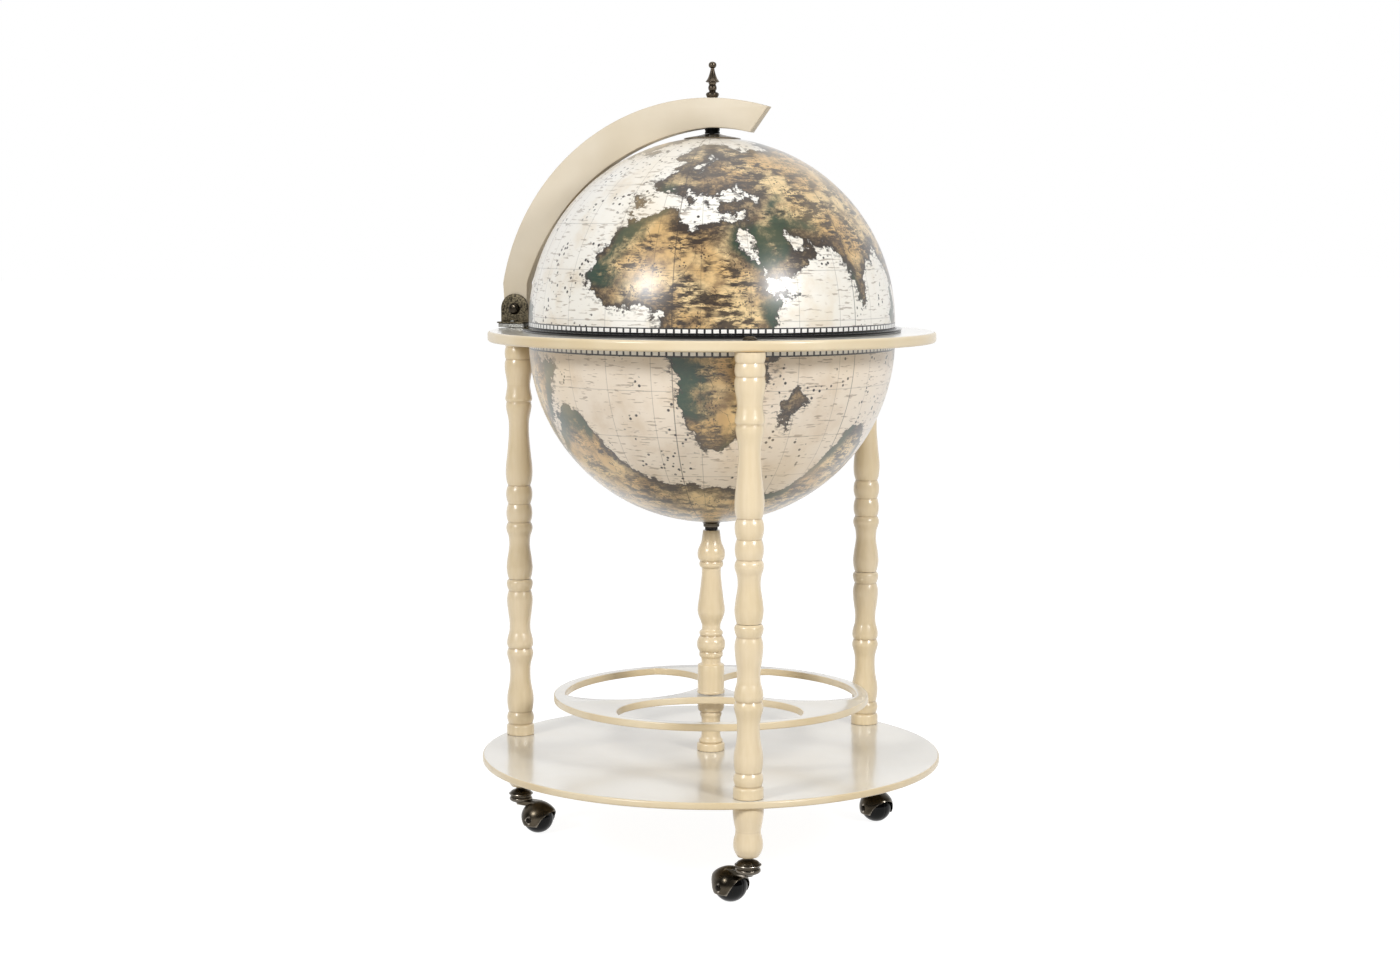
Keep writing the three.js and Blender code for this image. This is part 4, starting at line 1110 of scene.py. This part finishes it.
@dataclass
class Column(SubAssembly):
    """The centre column: two spindles with the bottle shelf between them."""

    radius_share: float = 0.982
    shelf_radius: float = 183.0
    shelf_rim: float = 14.0
    shelf_hub: float = 28.0
    opening_half_width: float = 104.0
    opening_half_depth: float = 84.0
    shelf_turn: float = -10.0
    shelf_ease: float = 1.2
    lower: list[Span] = field(default_factory=lambda: [
        [(0.3, 16.0), (0.9, 16.5)],
        [(0.9, 16.5), (7.6, 16.5)],
        [(7.6, 16.5), (8.6, 15.9), (9.5, 13.5)],
        [(9.5, 13.5), (11, 14.2), (12.5, 14.1), (15, 12.2), (18, 11.3), (28, 11.1), (38, 11.3), (41, 12.3)],
        [(41, 12.3), (42.5, 12.9), (44.5, 12.9), (46, 12.4)],
        [(46, 12.4), (47.2, 14.4), (50, 15.5), (54, 15.9), (59.4, 15.9)],
    ])
    upper: list[Span] = field(default_factory=lambda: [
        [(68, 16.0), (68.5, 16.4), (70.3, 16.4), (71, 15.8)],
        [(71, 15.8), (100.6, 15.8)],
        [(100.6, 15.8), (101.6, 15.2), (103.2, 11.6), (105.5, 11.4), (108.5, 11.6), (110, 12.2)],
        [(110, 12.2), (111.2, 13.5), (113.2, 14.0), (115.5, 13.9), (117, 13.4)],
        [(117, 13.4), (118.6, 14.9), (121.5, 16.3), (125.5, 16.7), (129.5, 16.3), (133, 14.7)],
        [(133, 14.7), (134.5, 13.6), (136, 13.1)],
        [(136, 13.1), (137.6, 13.9), (139.5, 13.9), (141, 13.1)],
        [(141, 13.1), (142.8, 11.2), (146, 10.9), (148.5, 11.1), (152, 12.3), (157, 14.3), (162, 15.8),
         (166, 16.2), (171, 15.8), (178, 14.7), (185, 13.8), (192, 12.9), (199, 12.1), (206, 11.4),
         (213, 11.2)],
        [(213, 11.2), (215, 11.8), (216.4, 13.2), (218.5, 14.1), (221, 14.0), (223, 13.3)],
        [(223, 13.3), (225.2, 15.1), (228.5, 16.1), (232, 16.3), (237, 15.4), (241, 13.6), (244, 12.4),
         (248, 11.4), (254, 10.6), (258.9, 9.9)],
    ])

    def build(self) -> None:
        """Builds the spindles and the shelf."""
        for length, spans in (("lower_spindle", self.lower), ("upper_spindle", self.upper)):
            self.build_turning(f"turned_{length}", length, spans, 72, share=self.radius_share)
        outer = arc_points((0.0, 0.0), self.shelf_radius, 0, 360, 180)[:-1]
        openings = [self.opening(leg) for leg in Leg]
        levels = (LEVELS.shelf_bottom, LEVELS.shelf_top)
        shelf = eased_plate("bottle_shelf_board", [outer, *openings], *levels, self.shelf_ease)
        paint_top(shelf)
        self.shop.fit(shelf, ("bottle_shelf",), "cream_gloss", Look.EDGE, Look.GLOSS)

    def opening(self, leg: Leg) -> Span:
        """Outlines one bean shaped opening of the shelf.

        Args:
            leg: The leg beside it.

        Returns:
            Points clockwise.
        """
        limit = self.shelf_radius - self.shelf_rim
        turn = math.radians(leg.value + self.shelf_turn)
        centre = self.shelf_hub + self.opening_half_depth
        bean = []
        for x, y in arc_points((0.0, 0.0), 1.0, 360, 0, 120)[:-1]:
            u, v = centre + self.opening_half_depth * x, self.opening_half_width * y
            reach = math.hypot(u, v)
            if reach > limit:
                u, v = u * limit / reach, v * limit / reach
            bean.append((u * math.cos(turn) - v * math.sin(turn), u * math.sin(turn) + v * math.cos(turn)))
        return bean


@dataclass
class Globe(SubAssembly):
    """The bowl and the lid with their map, the rim moulding, the pole caps and the inner fittings."""

    rings: int = 92
    sides: int = 360
    pole_degrees: float = 89.0  # the shells end just short of the poles, under the caps
    lid_bottom: float = 613.4
    flange_reach: float = 217.0
    flange_thickness: float = 1.8
    flange_ease: float = 0.5
    skirt_height: float = 12.5
    lid_view: float = 24.0
    bowl_view: float = 22.0
    camera_turn: float = -99.5
    rim_levels: Point = (610.4, 613.1)  # bottom and top
    rim_inset: float = 5.0
    bolt_hole: float = 3.4
    cap_seat: float = 210.35
    washer: Point = (7.4, 3.2)  # radius and height
    rack_radius: float = 204.0
    rack_levels: Point = (574.0, 580.0)
    rack_ease: float = 1.0
    # Count, radius of their circle, hole radius and direction of the first, for bottles and for glasses
    rack_holes: tuple[tuple[int, float, float, float], ...] = (
        (3, 61.8, 43.0, -90.0), (6, 162.15, 28.0, -60.0)
    )
    plate_ease: float = 1.2

    def build(self) -> None:
        """Builds both halves and everything that is fixed to them."""
        self.build_half(True)
        self.build_half(False)
        self.build_rim()
        self.build_caps()
        self.build_rack()

    def build_half(self, upper: bool) -> None:
        """Builds one half shell.

        Args:
            upper: True for the lid, False for the bowl.
        """
        r, inner = LEVELS.globe_radius, LEVELS.globe_radius - LEVELS.shell_wall
        sign, centre = (1, LEVELS.lid_centre) if upper else (-1, LEVELS.bowl_centre)
        profile = arc_points((0.0, centre), r, sign * self.pole_degrees, 0, self.rings)
        if upper:
            profile += [(r, self.lid_bottom), (inner, self.lid_bottom)]
        else:
            reach, ease = self.flange_reach, self.flange_ease
            base = LEVELS.ring_top + LEVELS.seat_gap
            top = base + self.flange_thickness
            profile += [(r, base), (reach - ease, base), (reach, base + ease)]
            profile += [(reach, top - ease), (reach - ease, top), (inner, top)]
        profile += arc_points((0.0, centre), inner, 0, sign * self.pole_degrees, self.rings // 3)
        name = "upper_half_globe" if upper else "lower_half_globe"
        piece = turned(name, profile[::-1] if upper else profile, self.sides, closed=True)
        x, y, z = (points_of(piece) - np.array([0, 0, centre])).T
        lat = np.degrees(np.arctan2(z, np.hypot(x, y)))
        lon = np.degrees(np.arctan2(y, x)) - self.camera_turn + (self.lid_view if upper else self.bowl_view)
        store_values(piece, "inland", inland_degrees(lon, lat))
        for face in piece.data.polygons:
            middle = face.center / MM
            reach = math.hypot(middle.x, middle.y)
            radius = math.hypot(reach, middle.z - centre)
            skirted = abs(middle.z - centre) < self.skirt_height and reach > r - 1
            if radius < r - 1 and not skirted:
                face.material_index = 1
        node, look = ("upper_globe", Look.LID_MAP) if upper else ("lower_bowl", Look.BOWL_MAP)
        self.shop.fit(piece, (node,), "printed_map", look, Look.LINING)

    def build_rim(self) -> None:
        """Builds the black moulding with its thin lip."""
        r, (low, high) = LEVELS.globe_radius, self.rim_levels
        lip = [(7.1, 0.0), (7.5, 0.4), (7.5, 0.9), (7.1, 1.2), (2.3, 1.3), (2.0, 1.6)]
        profile = [(r - self.rim_inset, low)] + [(r + x, low + z) for x, z in lip]
        profile += [(r + 2, high - 0.4), (r + 1.6, high), (r - self.rim_inset, high)]
        rim = turned("black_rim_moulding", profile, 240, closed=True)
        self.shop.fit(rim, ("rim_band",), "black_plastic", Look.PLASTIC)

    def build_caps(self) -> None:
        """Builds the two pole caps, the collar and the washer, each with a hole for its bolt."""
        bolt, pole, south = self.bolt_hole, LEVELS.upper_pole, LEVELS.lower_pole
        drop = {r: math.sqrt(self.cap_seat**2 - r**2) for r in (bolt, 8.0, 12.0, 12.6, 22.0, 32.2)}
        under = [(r, LEVELS.lid_centre + drop[r]) for r in (bolt, 12.0, 22.0, 32.2)]
        top = [(32.7, under[-1][1] + 0.5), (31.6, under[-1][1] + 1.1)]
        top += [(24.0, pole + 0.5), (16.0, pole + 1.9), (10.6, pole + 3.2)]
        rosette = [*under, *smooth_span(top), (9.6, pole + 3.6), (bolt, pole + 3.6)]
        low = pole + 3.9
        ring = [(8.2, 0.0), (8.6, 0.4), (8.6, 2.4), (8.0, 2.7)]
        ring += [(8.0, 3.3), (8.6, 3.6), (8.6, 6.0), (8.2, 6.4)]
        collar = [(bolt, low), *((r, low + z) for r, z in ring), (bolt, low + 6.4)]
        seat = [(r, LEVELS.bowl_centre - drop[r]) for r in (12.6, 8.0, bolt)]
        side = smooth_span([(9.3, south - 3.6), (9.6, south - 2.6), (11.0, south - 1.2), (13.0, south - 0.3)])
        ferrule = [(bolt, south - 6.5), (8.9, south - 6.5), (9.3, south - 6.1), *side, *seat]
        base, (r, h) = LEVELS.column_top + LEVELS.seat_gap, self.washer
        washer = [(bolt, base), (r - 0.4, base), (r, base + 0.5)]
        washer += [(r, base + h - 0.5), (r - 0.4, base + h), (bolt, base + h)]
        for name, node, profile, sides, slot, look in (
            ("upper_pole_rosette", "upper_pole_cap", rosette, 96, "antique_bronze", Look.RUBBED),
            ("pole_collar_ring", "pole_collar", collar, 64, "black_plastic", Look.PLASTIC),
            ("lower_pole_ferrule", "lower_pole_cap", ferrule, 64, "antique_bronze", Look.BRONZE),
            ("column_washer_ring", "column_washer", washer, 48, "rubber", Look.RUBBER),
        ):
            self.shop.fit(turned(name, profile, sides, closed=True), (node,), slot, look)

    def build_rack(self) -> None:
        """Builds the rack for bottles and glasses, and the plate under the bottles."""
        outer = arc_points((0.0, 0.0), self.rack_radius, 0, 360, 180)[:-1]
        holes = []
        for count, circle, hole, turn in self.rack_holes:
            for i in range(count):
                angle = math.radians(turn + i * 360 / count)
                centre = (circle * math.cos(angle), circle * math.sin(angle))
                holes.append(arc_points(centre, hole, 360, 0, 48)[:-1])
        rack = eased_plate("glass_rack_board", [outer, *holes], *self.rack_levels, self.rack_ease)
        self.shop.fit(rack, ("glass_rack",), "cream_gloss", Look.FACE)
        low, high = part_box("bottle_plate")
        base, top, ease = low.z / MM, high.z / MM, self.plate_ease
        side = high.x / MM - ease
        profile = [(0.0, base), (side, base)] + arc_points((side, base + ease), ease, -90, 0, 4)[1:]
        profile += arc_points((side, top - ease), ease, 0, 90, 4) + [(0.0, top)]
        self.shop.fit(turned("bottle_plate_board", profile, 144), ("bottle_plate",), "cream_gloss", Look.FACE)


@dataclass
class Meridian(SubAssembly):
    """The half meridian board, its finial and the hinge that carries it on the ring."""

    width: float = 34.0
    thickness: float = 15.0
    outer_shift: float = 6.0
    outer_rise: float = 5.0
    inner_shift: float = 19.0
    inner_drop: float = 36.0
    tip_reach: float = 69.0
    tip_slant: float = 21.0
    tip_drop: float = 5.6
    heel_rise: float = 30.0
    pin_rise: float = 22.0
    foot_radius: float = 14.4
    cheek_radius: float = 17.6
    crest_rise: float = 10.6
    arc_ease: float = 1.3
    finial_tip: float = 40.5
    slab_corner: float = 2.5
    slab_ease: float = 0.2
    block_half_width: float = 19.5
    block_levels: Point = (0.3, 4.9)  # over the ring
    plate_half_width: float = 22.5
    plate_levels: Point = (5.2, 6.8)
    plate_margin: float = 0.6
    cheek_bottom: float = 6.5
    cheek_gap: float = 0.5
    cheek_wall: float = 2.5
    cheek_ease: float = 0.6
    pin_radius: float = 3.5
    head: Span = field(default_factory=lambda: [
        (6.8, 0.0), (6.9, 0.8), (6.3, 2.8), (4.9, 4.2), (3.0, 4.8), (1.2, 5.0)
    ])
    finial: list[Span] = field(default_factory=lambda: [
        [(0, 6.0), (1.3, 6.7), (3.4, 7.5), (5.0, 6.9), (6.4, 4.6), (7.3, 3.6)],
        [(7.3, 3.6), (8.6, 4.4), (11, 4.9), (13.4, 4.3), (14.6, 3.8)],
        [(14.6, 3.8), (15.4, 4.3), (16.6, 4.6)],
        [(16.6, 4.6), (17.3, 7.2), (18.0, 7.9), (18.6, 7.5)],
        [(18.6, 7.5), (21.2, 5.6), (26, 3.7), (30.5, 2.5), (32.8, 2.0)],
        [(32.8, 2.0), (33.4, 3.0), (34.8, 4.1), (36.5, 4.5), (38.4, 4.1), (39.7, 2.8), (40.4, 1.0)],
    ])

    @property
    def spin(self) -> Matrix:
        """Turns the frame's x axis over the left leg."""
        return Matrix.Rotation(math.radians(Leg.LEFT.value), 4, "Z")

    @property
    def place(self) -> Matrix:
        """Turns the arc's own plane, with u outwards and v up, to the object's frame."""
        return self.spin @ Matrix.Rotation(math.radians(90), 4, "X")

    @property
    def crest(self) -> float:
        """Height of the inner edge over the pole."""
        return LEVELS.upper_pole + self.crest_rise

    @property
    def pin_level(self) -> float:
        """Height of the hinge pin."""
        return LEVELS.ring_top + self.pin_rise

    def build(self) -> None:
        """Builds the arc, the finial and the hinge."""
        half = self.thickness / 2
        arc = eased_plate("half_meridian_board", [self.outline()], -half, half, self.arc_ease, self.place)
        self.shop.fit(arc, ("meridian_arc",), "cream_gloss", Look.FACE)
        base = self.crest + self.width + LEVELS.seat_gap
        profile = [(r, base + z) for r, z in smooth_profile(self.finial, 6)]
        finial = turned("turned_finial", [(0.0, base)] + profile + [(0.0, base + self.finial_tip)], 64)
        self.shop.fit(finial, ("finial",), "antique_bronze", Look.RUBBED)
        self.build_hinge()
        self.build_pin(half + self.cheek_gap + self.cheek_wall + LEVELS.seat_gap)

    def outline(self) -> Span:
        """Outlines the arc in its own plane.

        Returns:
            Points counter-clockwise.
        """
        circle = LEVELS.leg_circle
        outer_y = LEVELS.ring_top + self.outer_rise
        outer_r = math.hypot(self.outer_shift, self.crest + self.width - outer_y)
        inner_y = outer_y - self.inner_drop
        inner_r = math.hypot(self.inner_shift, self.crest - inner_y)
        heel = self.pin_level + self.heel_rise
        tip = 180 - math.degrees(math.acos((self.tip_reach + self.outer_shift) / outer_r))
        crown = math.degrees(math.acos(self.inner_shift / inner_r))
        start = math.degrees(math.asin((heel - outer_y) / outer_r))
        end = math.degrees(math.asin((heel - inner_y) / inner_r))
        line = arc_points((circle, self.pin_level), self.foot_radius, -180, 0, 24)
        line += arc_points((self.outer_shift, outer_y), outer_r, start, tip, 90)
        reach = self.tip_slant - self.tip_reach
        line += [(reach * s, self.crest - self.tip_drop * s * s) for s in (1 - i / 10 for i in range(10))]
        return line + arc_points((-self.inner_shift, inner_y), inner_r, crown, end, 80)

    def slab(self, name: str, half_length: float, half_width: float, levels: Point) -> Piece:
        """Makes a block on the ring, under the arc, with rounded corners.

        Args:
            name: The piece's name.
            half_length: Half its length outwards.
            half_width: Half its width across the arc.
            levels: Heights of its faces over the ring.

        Returns:
            The block.
        """
        line: Span = []
        for cx, cy, turn in ((1, -1, -90), (1, 1, 0), (-1, 1, 90), (-1, -1, 180)):
            x = LEVELS.leg_circle + cx * (half_length - self.slab_corner)
            corner = (x, cy * (half_width - self.slab_corner))
            line += arc_points(corner, self.slab_corner, turn, turn + 90, 6)
        low, high = (LEVELS.ring_top + level for level in levels)
        return eased_plate(name, [line], low, high, self.slab_ease, self.spin)

    def build_hinge(self) -> None:
        """Builds the base block and the bracket with its two cheeks."""
        circle, cheek = LEVELS.leg_circle, self.cheek_radius
        block = self.slab("hinge_base_block", cheek, self.block_half_width, self.block_levels)
        self.shop.fit(block, ("hinge_base",), "steel", Look.STEEL)
        reach = cheek + self.plate_margin
        plate = self.slab("hinge_bracket_plate", reach, self.plate_half_width, self.plate_levels)
        self.shop.fit(plate, ("hinge_bracket",), "antique_bronze", Look.HAMMERED)
        base, inner = LEVELS.ring_top + self.cheek_bottom, self.thickness / 2 + self.cheek_gap
        line = [(circle - cheek, base), (circle + cheek, base)]
        line += arc_points((circle, self.pin_level), cheek, 0, 180, 36)
        for side, low in (("near", inner), ("far", -inner - self.cheek_wall)):
            high = low + self.cheek_wall
            piece = eased_plate(f"hinge_cheek_{side}", [line], low, high, self.cheek_ease, self.place)
            self.shop.fit(piece, ("hinge_bracket",), "antique_bronze", Look.HAMMERED)

    def build_pin(self, seat: float) -> None:
        """Builds the pin with its two ball heads.

        Args:
            seat: Distance of each head's flat from the arc's middle.
        """
        head, shank = smooth_span(self.head, 4), self.pin_radius
        tip = seat + self.head[-1][1]
        profile = [(0.0, -tip)] + [(r, -seat - z) for r, z in reversed(head)] + [(shank, -seat)]
        profile += [(shank, seat)] + [(r, seat + z) for r, z in head] + [(0.0, tip)]
        place = self.spin @ Matrix.Translation((LEVELS.leg_circle, 0, self.pin_level))
        place = place @ Matrix.Rotation(math.pi / 2, 4, "X")
        pin = turned("hinge_pin_with_heads", profile, 48, place=place)
        self.shop.fit(pin, ("hinge_pin",), "antique_bronze", Look.BRONZE)


@dataclass
class Caster(SubAssembly):
    """One hooded ball caster: a stem with its bearing, the hood, the axle and the ball."""

    leg: Leg
    trail_turn: float
    ball_radius: float = 18.5
    ball_bore: float = 2.4
    seam_degrees: float = 1.6
    seam_depth: float = 0.25
    trail: float = 25.0
    gap: float = 0.6
    wall: float = 1.5
    stem_radius: float = 3.5
    stem_drop: float = 7.7
    stem_rise: float = 37.8
    cover_height: float = 13.0
    bore_radius: float = 3.9
    axle_hole: float = 2.3
    hole_reach: float = 60.0
    boss_top: float = 40.7
    arch_rise: float = 10.0
    arch_inset: float = 4.0
    lobe_drop: float = 8.0
    visor_flare: float = 4.5
    visor_from: float = 0.8
    cover: Span = field(default_factory=lambda: [
        (3.5, 0.0), (12.0, 0.0), (12.5, 0.5), (12.5, 2.6), (13.5, 3.0), (14.3, 3.5), (14.6, 4.1), (14.3, 4.7),
        (13.1, 5.0), (12.7, 5.5), (12.2, 6.4), (11.1, 7.5), (9.3, 8.4), (7.3, 9.2), (5.9, 10.0), (5.6, 11.0),
    ])
    boss: Span = field(default_factory=lambda: [(5.6, 8.0), (6.4, 6.8), (9.2, 5.6), (12.2, 4.2), (13.6, 2.8)])

    @property
    def place(self) -> Matrix:
        """Moves the caster's own frame, with x along the trail, to its leg."""
        x, y = self.leg.centre
        return Matrix.Translation((x, y, 0)) @ Matrix.Rotation(math.radians(self.trail_turn), 4, "Z")

    @property
    def ball_at(self) -> Matrix:
        """Moves to the ball's centre in the caster's frame."""
        return Matrix.Translation((self.trail, 0, self.ball_radius))

    @property
    def across(self) -> Matrix:
        """Lays a turning along the axle."""
        return self.ball_at @ Matrix.Rotation(math.pi / 2, 4, "X")

    def body(
        self, name: str, profile: Span, sides: int, lay: Matrix = UPRIGHT, closed: bool = False
    ) -> Piece:
        """Turns a profile about its own axis and lays it in the caster's frame."""
        return turned(name, profile, sides, closed=closed, place=self.place @ lay)

    def build(self) -> None:
        """Builds the four pieces of the caster."""
        self.build_stem()
        self.build_hood()
        r, bore, label = self.ball_radius, self.ball_bore, self.leg.label
        start = math.degrees(math.asin(bore / r))
        side = arc_points((0.0, 0.0), r, -90 + start, -self.seam_degrees, 22) + [(r - self.seam_depth, 0.0)]
        side += arc_points((0.0, 0.0), r, self.seam_degrees, 90 - start, 22)
        ball = self.body(f"caster_ball_moulding_{label}", side + [(bore, 0.0)], 64, self.across, True)
        self.shop.fit(ball, (f"caster_ball_{label}",), "black_plastic", Look.PLASTIC)
        end = r + self.gap + self.wall + LEVELS.seat_gap
        pin = [(0.0, -end - 0.9), (2.6, -end - 0.9), (3.4, -end - 0.4), (3.4, -end), (2.0, -end)]
        pin += [(x, -z) for x, z in reversed(pin)]
        axle = self.body(f"caster_axle_rivet_{label}", pin, 32, self.across)
        self.shop.fit(axle, (f"caster_axle_{label}",), "steel", Look.RIVET)

    def build_stem(self) -> None:
        """Builds the stem with its ringed bearing cover."""
        base, shank = self.boss_top + LEVELS.seat_gap, self.stem_radius
        low, tip = base - self.stem_drop, base + self.stem_rise
        profile = [(0.0, low), (shank, low)] + [(r, base + z) for r, z in self.cover]
        profile += [(self.cover[-1][0], base + self.cover_height), (shank, base + self.cover_height)]
        profile += [(shank, tip), (0.0, tip)]
        stem = self.body(f"caster_stem_turning_{self.leg.label}", profile, 48)
        self.shop.fit(stem, (f"caster_stem_{self.leg.label}",), "antique_bronze", Look.BRONZE)

    def sphere(self, name: str, radius: float) -> Piece:
        """Makes a fine sphere round the ball's centre."""
        line = [(0.0, -radius)] + arc_points((0.0, 0.0), radius, -84, 84, 28) + [(0.0, radius)]
        return self.body(name, line, 56, self.ball_at)

    def block(self, name: str, x: Point, y: Point, z: Point) -> Piece:
        """Makes a plain box between two values on each axis of the caster's frame."""
        line = [(x[0], y[0]), (x[1], y[0]), (x[1], y[1]), (x[0], y[1])]
        return eased_plate(name, [line], z[0], z[1], 0.05, self.place)

    def rod(self, name: str, radius: float, span: Point, sides: int, lay: Matrix = UPRIGHT) -> Piece:
        """Makes a plain rod between two heights on its own axis."""
        low, high = span
        return self.body(name, [(0.0, low), (radius, low), (radius, high), (0.0, high)], sides, lay)

    def build_hood(self) -> None:
        """Builds the hood: a shell round the ball with arched openings, joined to the stem's boss."""
        outer, top = self.ball_radius + self.gap + self.wall, self.boss_top
        hood = self.sphere(f"caster_hood_shell_{self.leg.label}", outer)
        line = smooth_span([(r, top - drop) for r, drop in self.boss])
        line += [(13.8, top - 1.4), (13.4, top - 0.3), (13.0, top), (0.0, top)]
        reach = outer - self.arch_inset
        over = self.ball_at @ Matrix.Translation((0, 0, self.arch_rise - reach))
        over = over @ Matrix.Rotation(math.pi / 2, 4, "Y")
        floor, far = self.ball_radius - self.lobe_drop, self.hole_reach
        hood = cut_and_join(hood, [
            ("UNION", self.body("boss", [(0.0, top - 8), *line], 48)),
            ("UNION", self.block("neck", (0.0, self.trail), (-9.0, 9.0), (top - 8, top - 3))),
            ("DIFFERENCE", self.sphere("hollow", self.ball_radius + self.gap)),
            ("DIFFERENCE", self.rod("arch", reach, (-2 * outer, 2 * outer), 96, over)),
            ("DIFFERENCE", self.block("skirt", (-60.0, 90.0), (-60.0, 60.0), (floor - 60, floor))),
            ("DIFFERENCE", self.rod("bore", self.bore_radius, (10.0, far), 32)),
            ("DIFFERENCE", self.rod("hole", self.axle_hole, (-far, far), 24, self.across)),
        ])
        back = self.place.inverted()
        for corner in hood.data.vertices:
            x, y, z = back @ (corner.co / MM)
            ahead, rise = (x - self.trail) / outer, z - self.ball_radius
            if ahead > 0 and rise > 0 and abs(y) < outer:
                share = min(ahead / self.visor_from, 1.0) ** 2 * (1 - (y / outer) ** 2)
                share *= min(rise / self.arch_rise, 1.0)
                corner.co = self.place @ Vector((x + self.visor_flare * share, y, z)) * MM
        self.shop.fit(hood, (f"caster_hood_{self.leg.label}",), "antique_bronze", Look.BRONZE)


# Studio


@dataclass
class Studio:
    """The camera at the photograph's place, the soft lamps, the white room and the floor."""

    camera_at: Place = (-459.1, -2757.5, 727.0)
    heading: float = -9.18
    pitch: float = 5.96
    roll: float = 0.115
    focal_px: float = 2429.2
    room_light: float = 0.3
    toward: Place = (0.16, 0.987, 0.0)
    dark_side: float = 0.12
    dark_until: float = -0.3
    white_from: float = 0.5
    aim: Place = (0.0, 0.0, 0.5)
    floor_half: float = 30.0
    floor_glow: float = 0.93
    lamps: tuple[tuple[str, Place, float, float], ...] = (
        ("left_round_lamp", (-2.05, -1.65, 1.7), 0.65, 39.0),
        ("right_round_lamp", (1.43, -2.21, 1.7), 0.65, 42.0),
        ("top_round_lamp", (0.1, -0.3, 2.7), 1.8, 8.0),
    )

    def build(self) -> None:
        """Sets the camera, lamps, world and floor."""
        bpy.context.scene.view_settings.view_transform = "Standard"
        self.build_camera()
        self.build_world()
        self.build_lamps()
        self.build_floor()

    def build_camera(self) -> None:
        """Sets the camera that was fitted to the photograph."""
        data = bpy.data.cameras.new("photograph_camera")
        data.sensor_width = 36.0
        data.sensor_fit = "HORIZONTAL"
        data.lens = self.focal_px / IMAGE_WIDTH * data.sensor_width
        data.clip_end = 50
        camera = bpy.data.objects.new("photograph_camera", data)
        look = Matrix.Rotation(math.radians(self.heading), 4, "Z")
        look = look @ Matrix.Rotation(math.radians(90 - self.pitch), 4, "X")
        look = look @ Matrix.Rotation(math.radians(self.roll), 4, "Z")
        camera.matrix_world = Matrix.Translation(Vector(self.camera_at) * MM) @ look
        bpy.context.scene.collection.objects.link(camera)
        bpy.context.scene.camera = camera

    def build_world(self) -> None:
        """Makes a room with white walls behind and beside the object, darker behind the viewer."""
        world = bpy.data.worlds.new("white_room")
        bpy.context.scene.world = world
        world.use_nodes = True
        world.node_tree.nodes.clear()
        add = partial(add_node, world.node_tree)
        seen = add("LightPath", output="Is Camera Ray")
        for ray in ("Is Glossy Ray", "Is Transmission Ray"):
            seen = add("Math", {0: seen, 1: add("LightPath", output=ray)}, operation="MAXIMUM")
        way = {0: add("TexCoord", output="Generated"), 1: self.toward}
        depth = add("VectorMath", way, output="Value", operation="DOT_PRODUCT")
        limits = {"From Min": self.dark_until, "From Max": self.white_from, "To Min": self.dark_side}
        glow = add("MapRange", {"Value": depth, **limits}, interpolation_type="SMOOTHSTEP")
        glow = add("Math", {0: glow, 1: add("LightPath", output="Is Camera Ray")}, operation="MAXIMUM")
        dim = add("Background", {"Color": srgb("#FFFDFA"), "Strength": self.room_light})
        white = add("Background", {"Color": (1, 1, 1, 1), "Strength": glow})
        add("OutputWorld", {"Surface": add("MixShader", {0: seen, 1: dim, 2: white})})

    def build_lamps(self) -> None:
        """Sets a round lamp at each side of the viewer and a wide soft one above."""
        for name, place, width, power in self.lamps:
            data = bpy.data.lights.new(name, "AREA")
            data.shape = "DISK"
            data.size = width
            data.energy = power
            lamp = bpy.data.objects.new(name, data)
            lamp.location = place
            lamp.rotation_euler = (Vector(self.aim) - Vector(place)).to_track_quat("-Z", "Y").to_euler()
            bpy.context.scene.collection.objects.link(lamp)

    def build_floor(self) -> None:
        """Lays a white floor that keeps a faint shadow."""
        half = self.floor_half
        corners = [(-half, -half, 0), (half, -half, 0), (half, half, 0), (-half, half, 0)]
        mesh = bpy.data.meshes.new("studio_floor")
        mesh.from_pydata(corners, [], [(0, 1, 2, 3)])
        floor = bpy.data.objects.new("studio_floor", mesh)
        bpy.context.scene.collection.objects.link(floor)
        material, add = new_material("white_paper_sweep")
        paper = add("BsdfDiffuse", {"Color": srgb("#CDC8BE")})
        thin = add("BsdfDiffuse", {"Color": (0.30, 0.30, 0.30, 1)})
        glow = add("Emission", {"Color": (1, 1, 1, 1), "Strength": self.floor_glow})
        seen = add("LightPath", output="Is Camera Ray")
        seen = add("Math", {0: seen, 1: add("LightPath", output="Is Glossy Ray")}, operation="MAXIMUM")
        lit = add("AddShader", {0: thin, 1: glow})
        add("OutputMaterial", {"Surface": add("MixShader", {0: seen, 1: paper, 2: lit})})
        mesh.materials.append(material)


def main() -> None:
    """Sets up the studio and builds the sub-assemblies in order."""
    logging.basicConfig(level=logging.INFO, format="%(name)s: %(message)s")
    Studio().build()
    shop = Workshop()
    for group in (Stand, Column, Globe, Meridian):
        group(shop).build()
    for leg, turn in ((Leg.FRONT, 128.0), (Leg.RIGHT, -65.0), (Leg.LEFT, -40.0)):
        Caster(shop, leg, turn).build()
    shop.dress_solids()


if __name__ == "__main__":
    main()
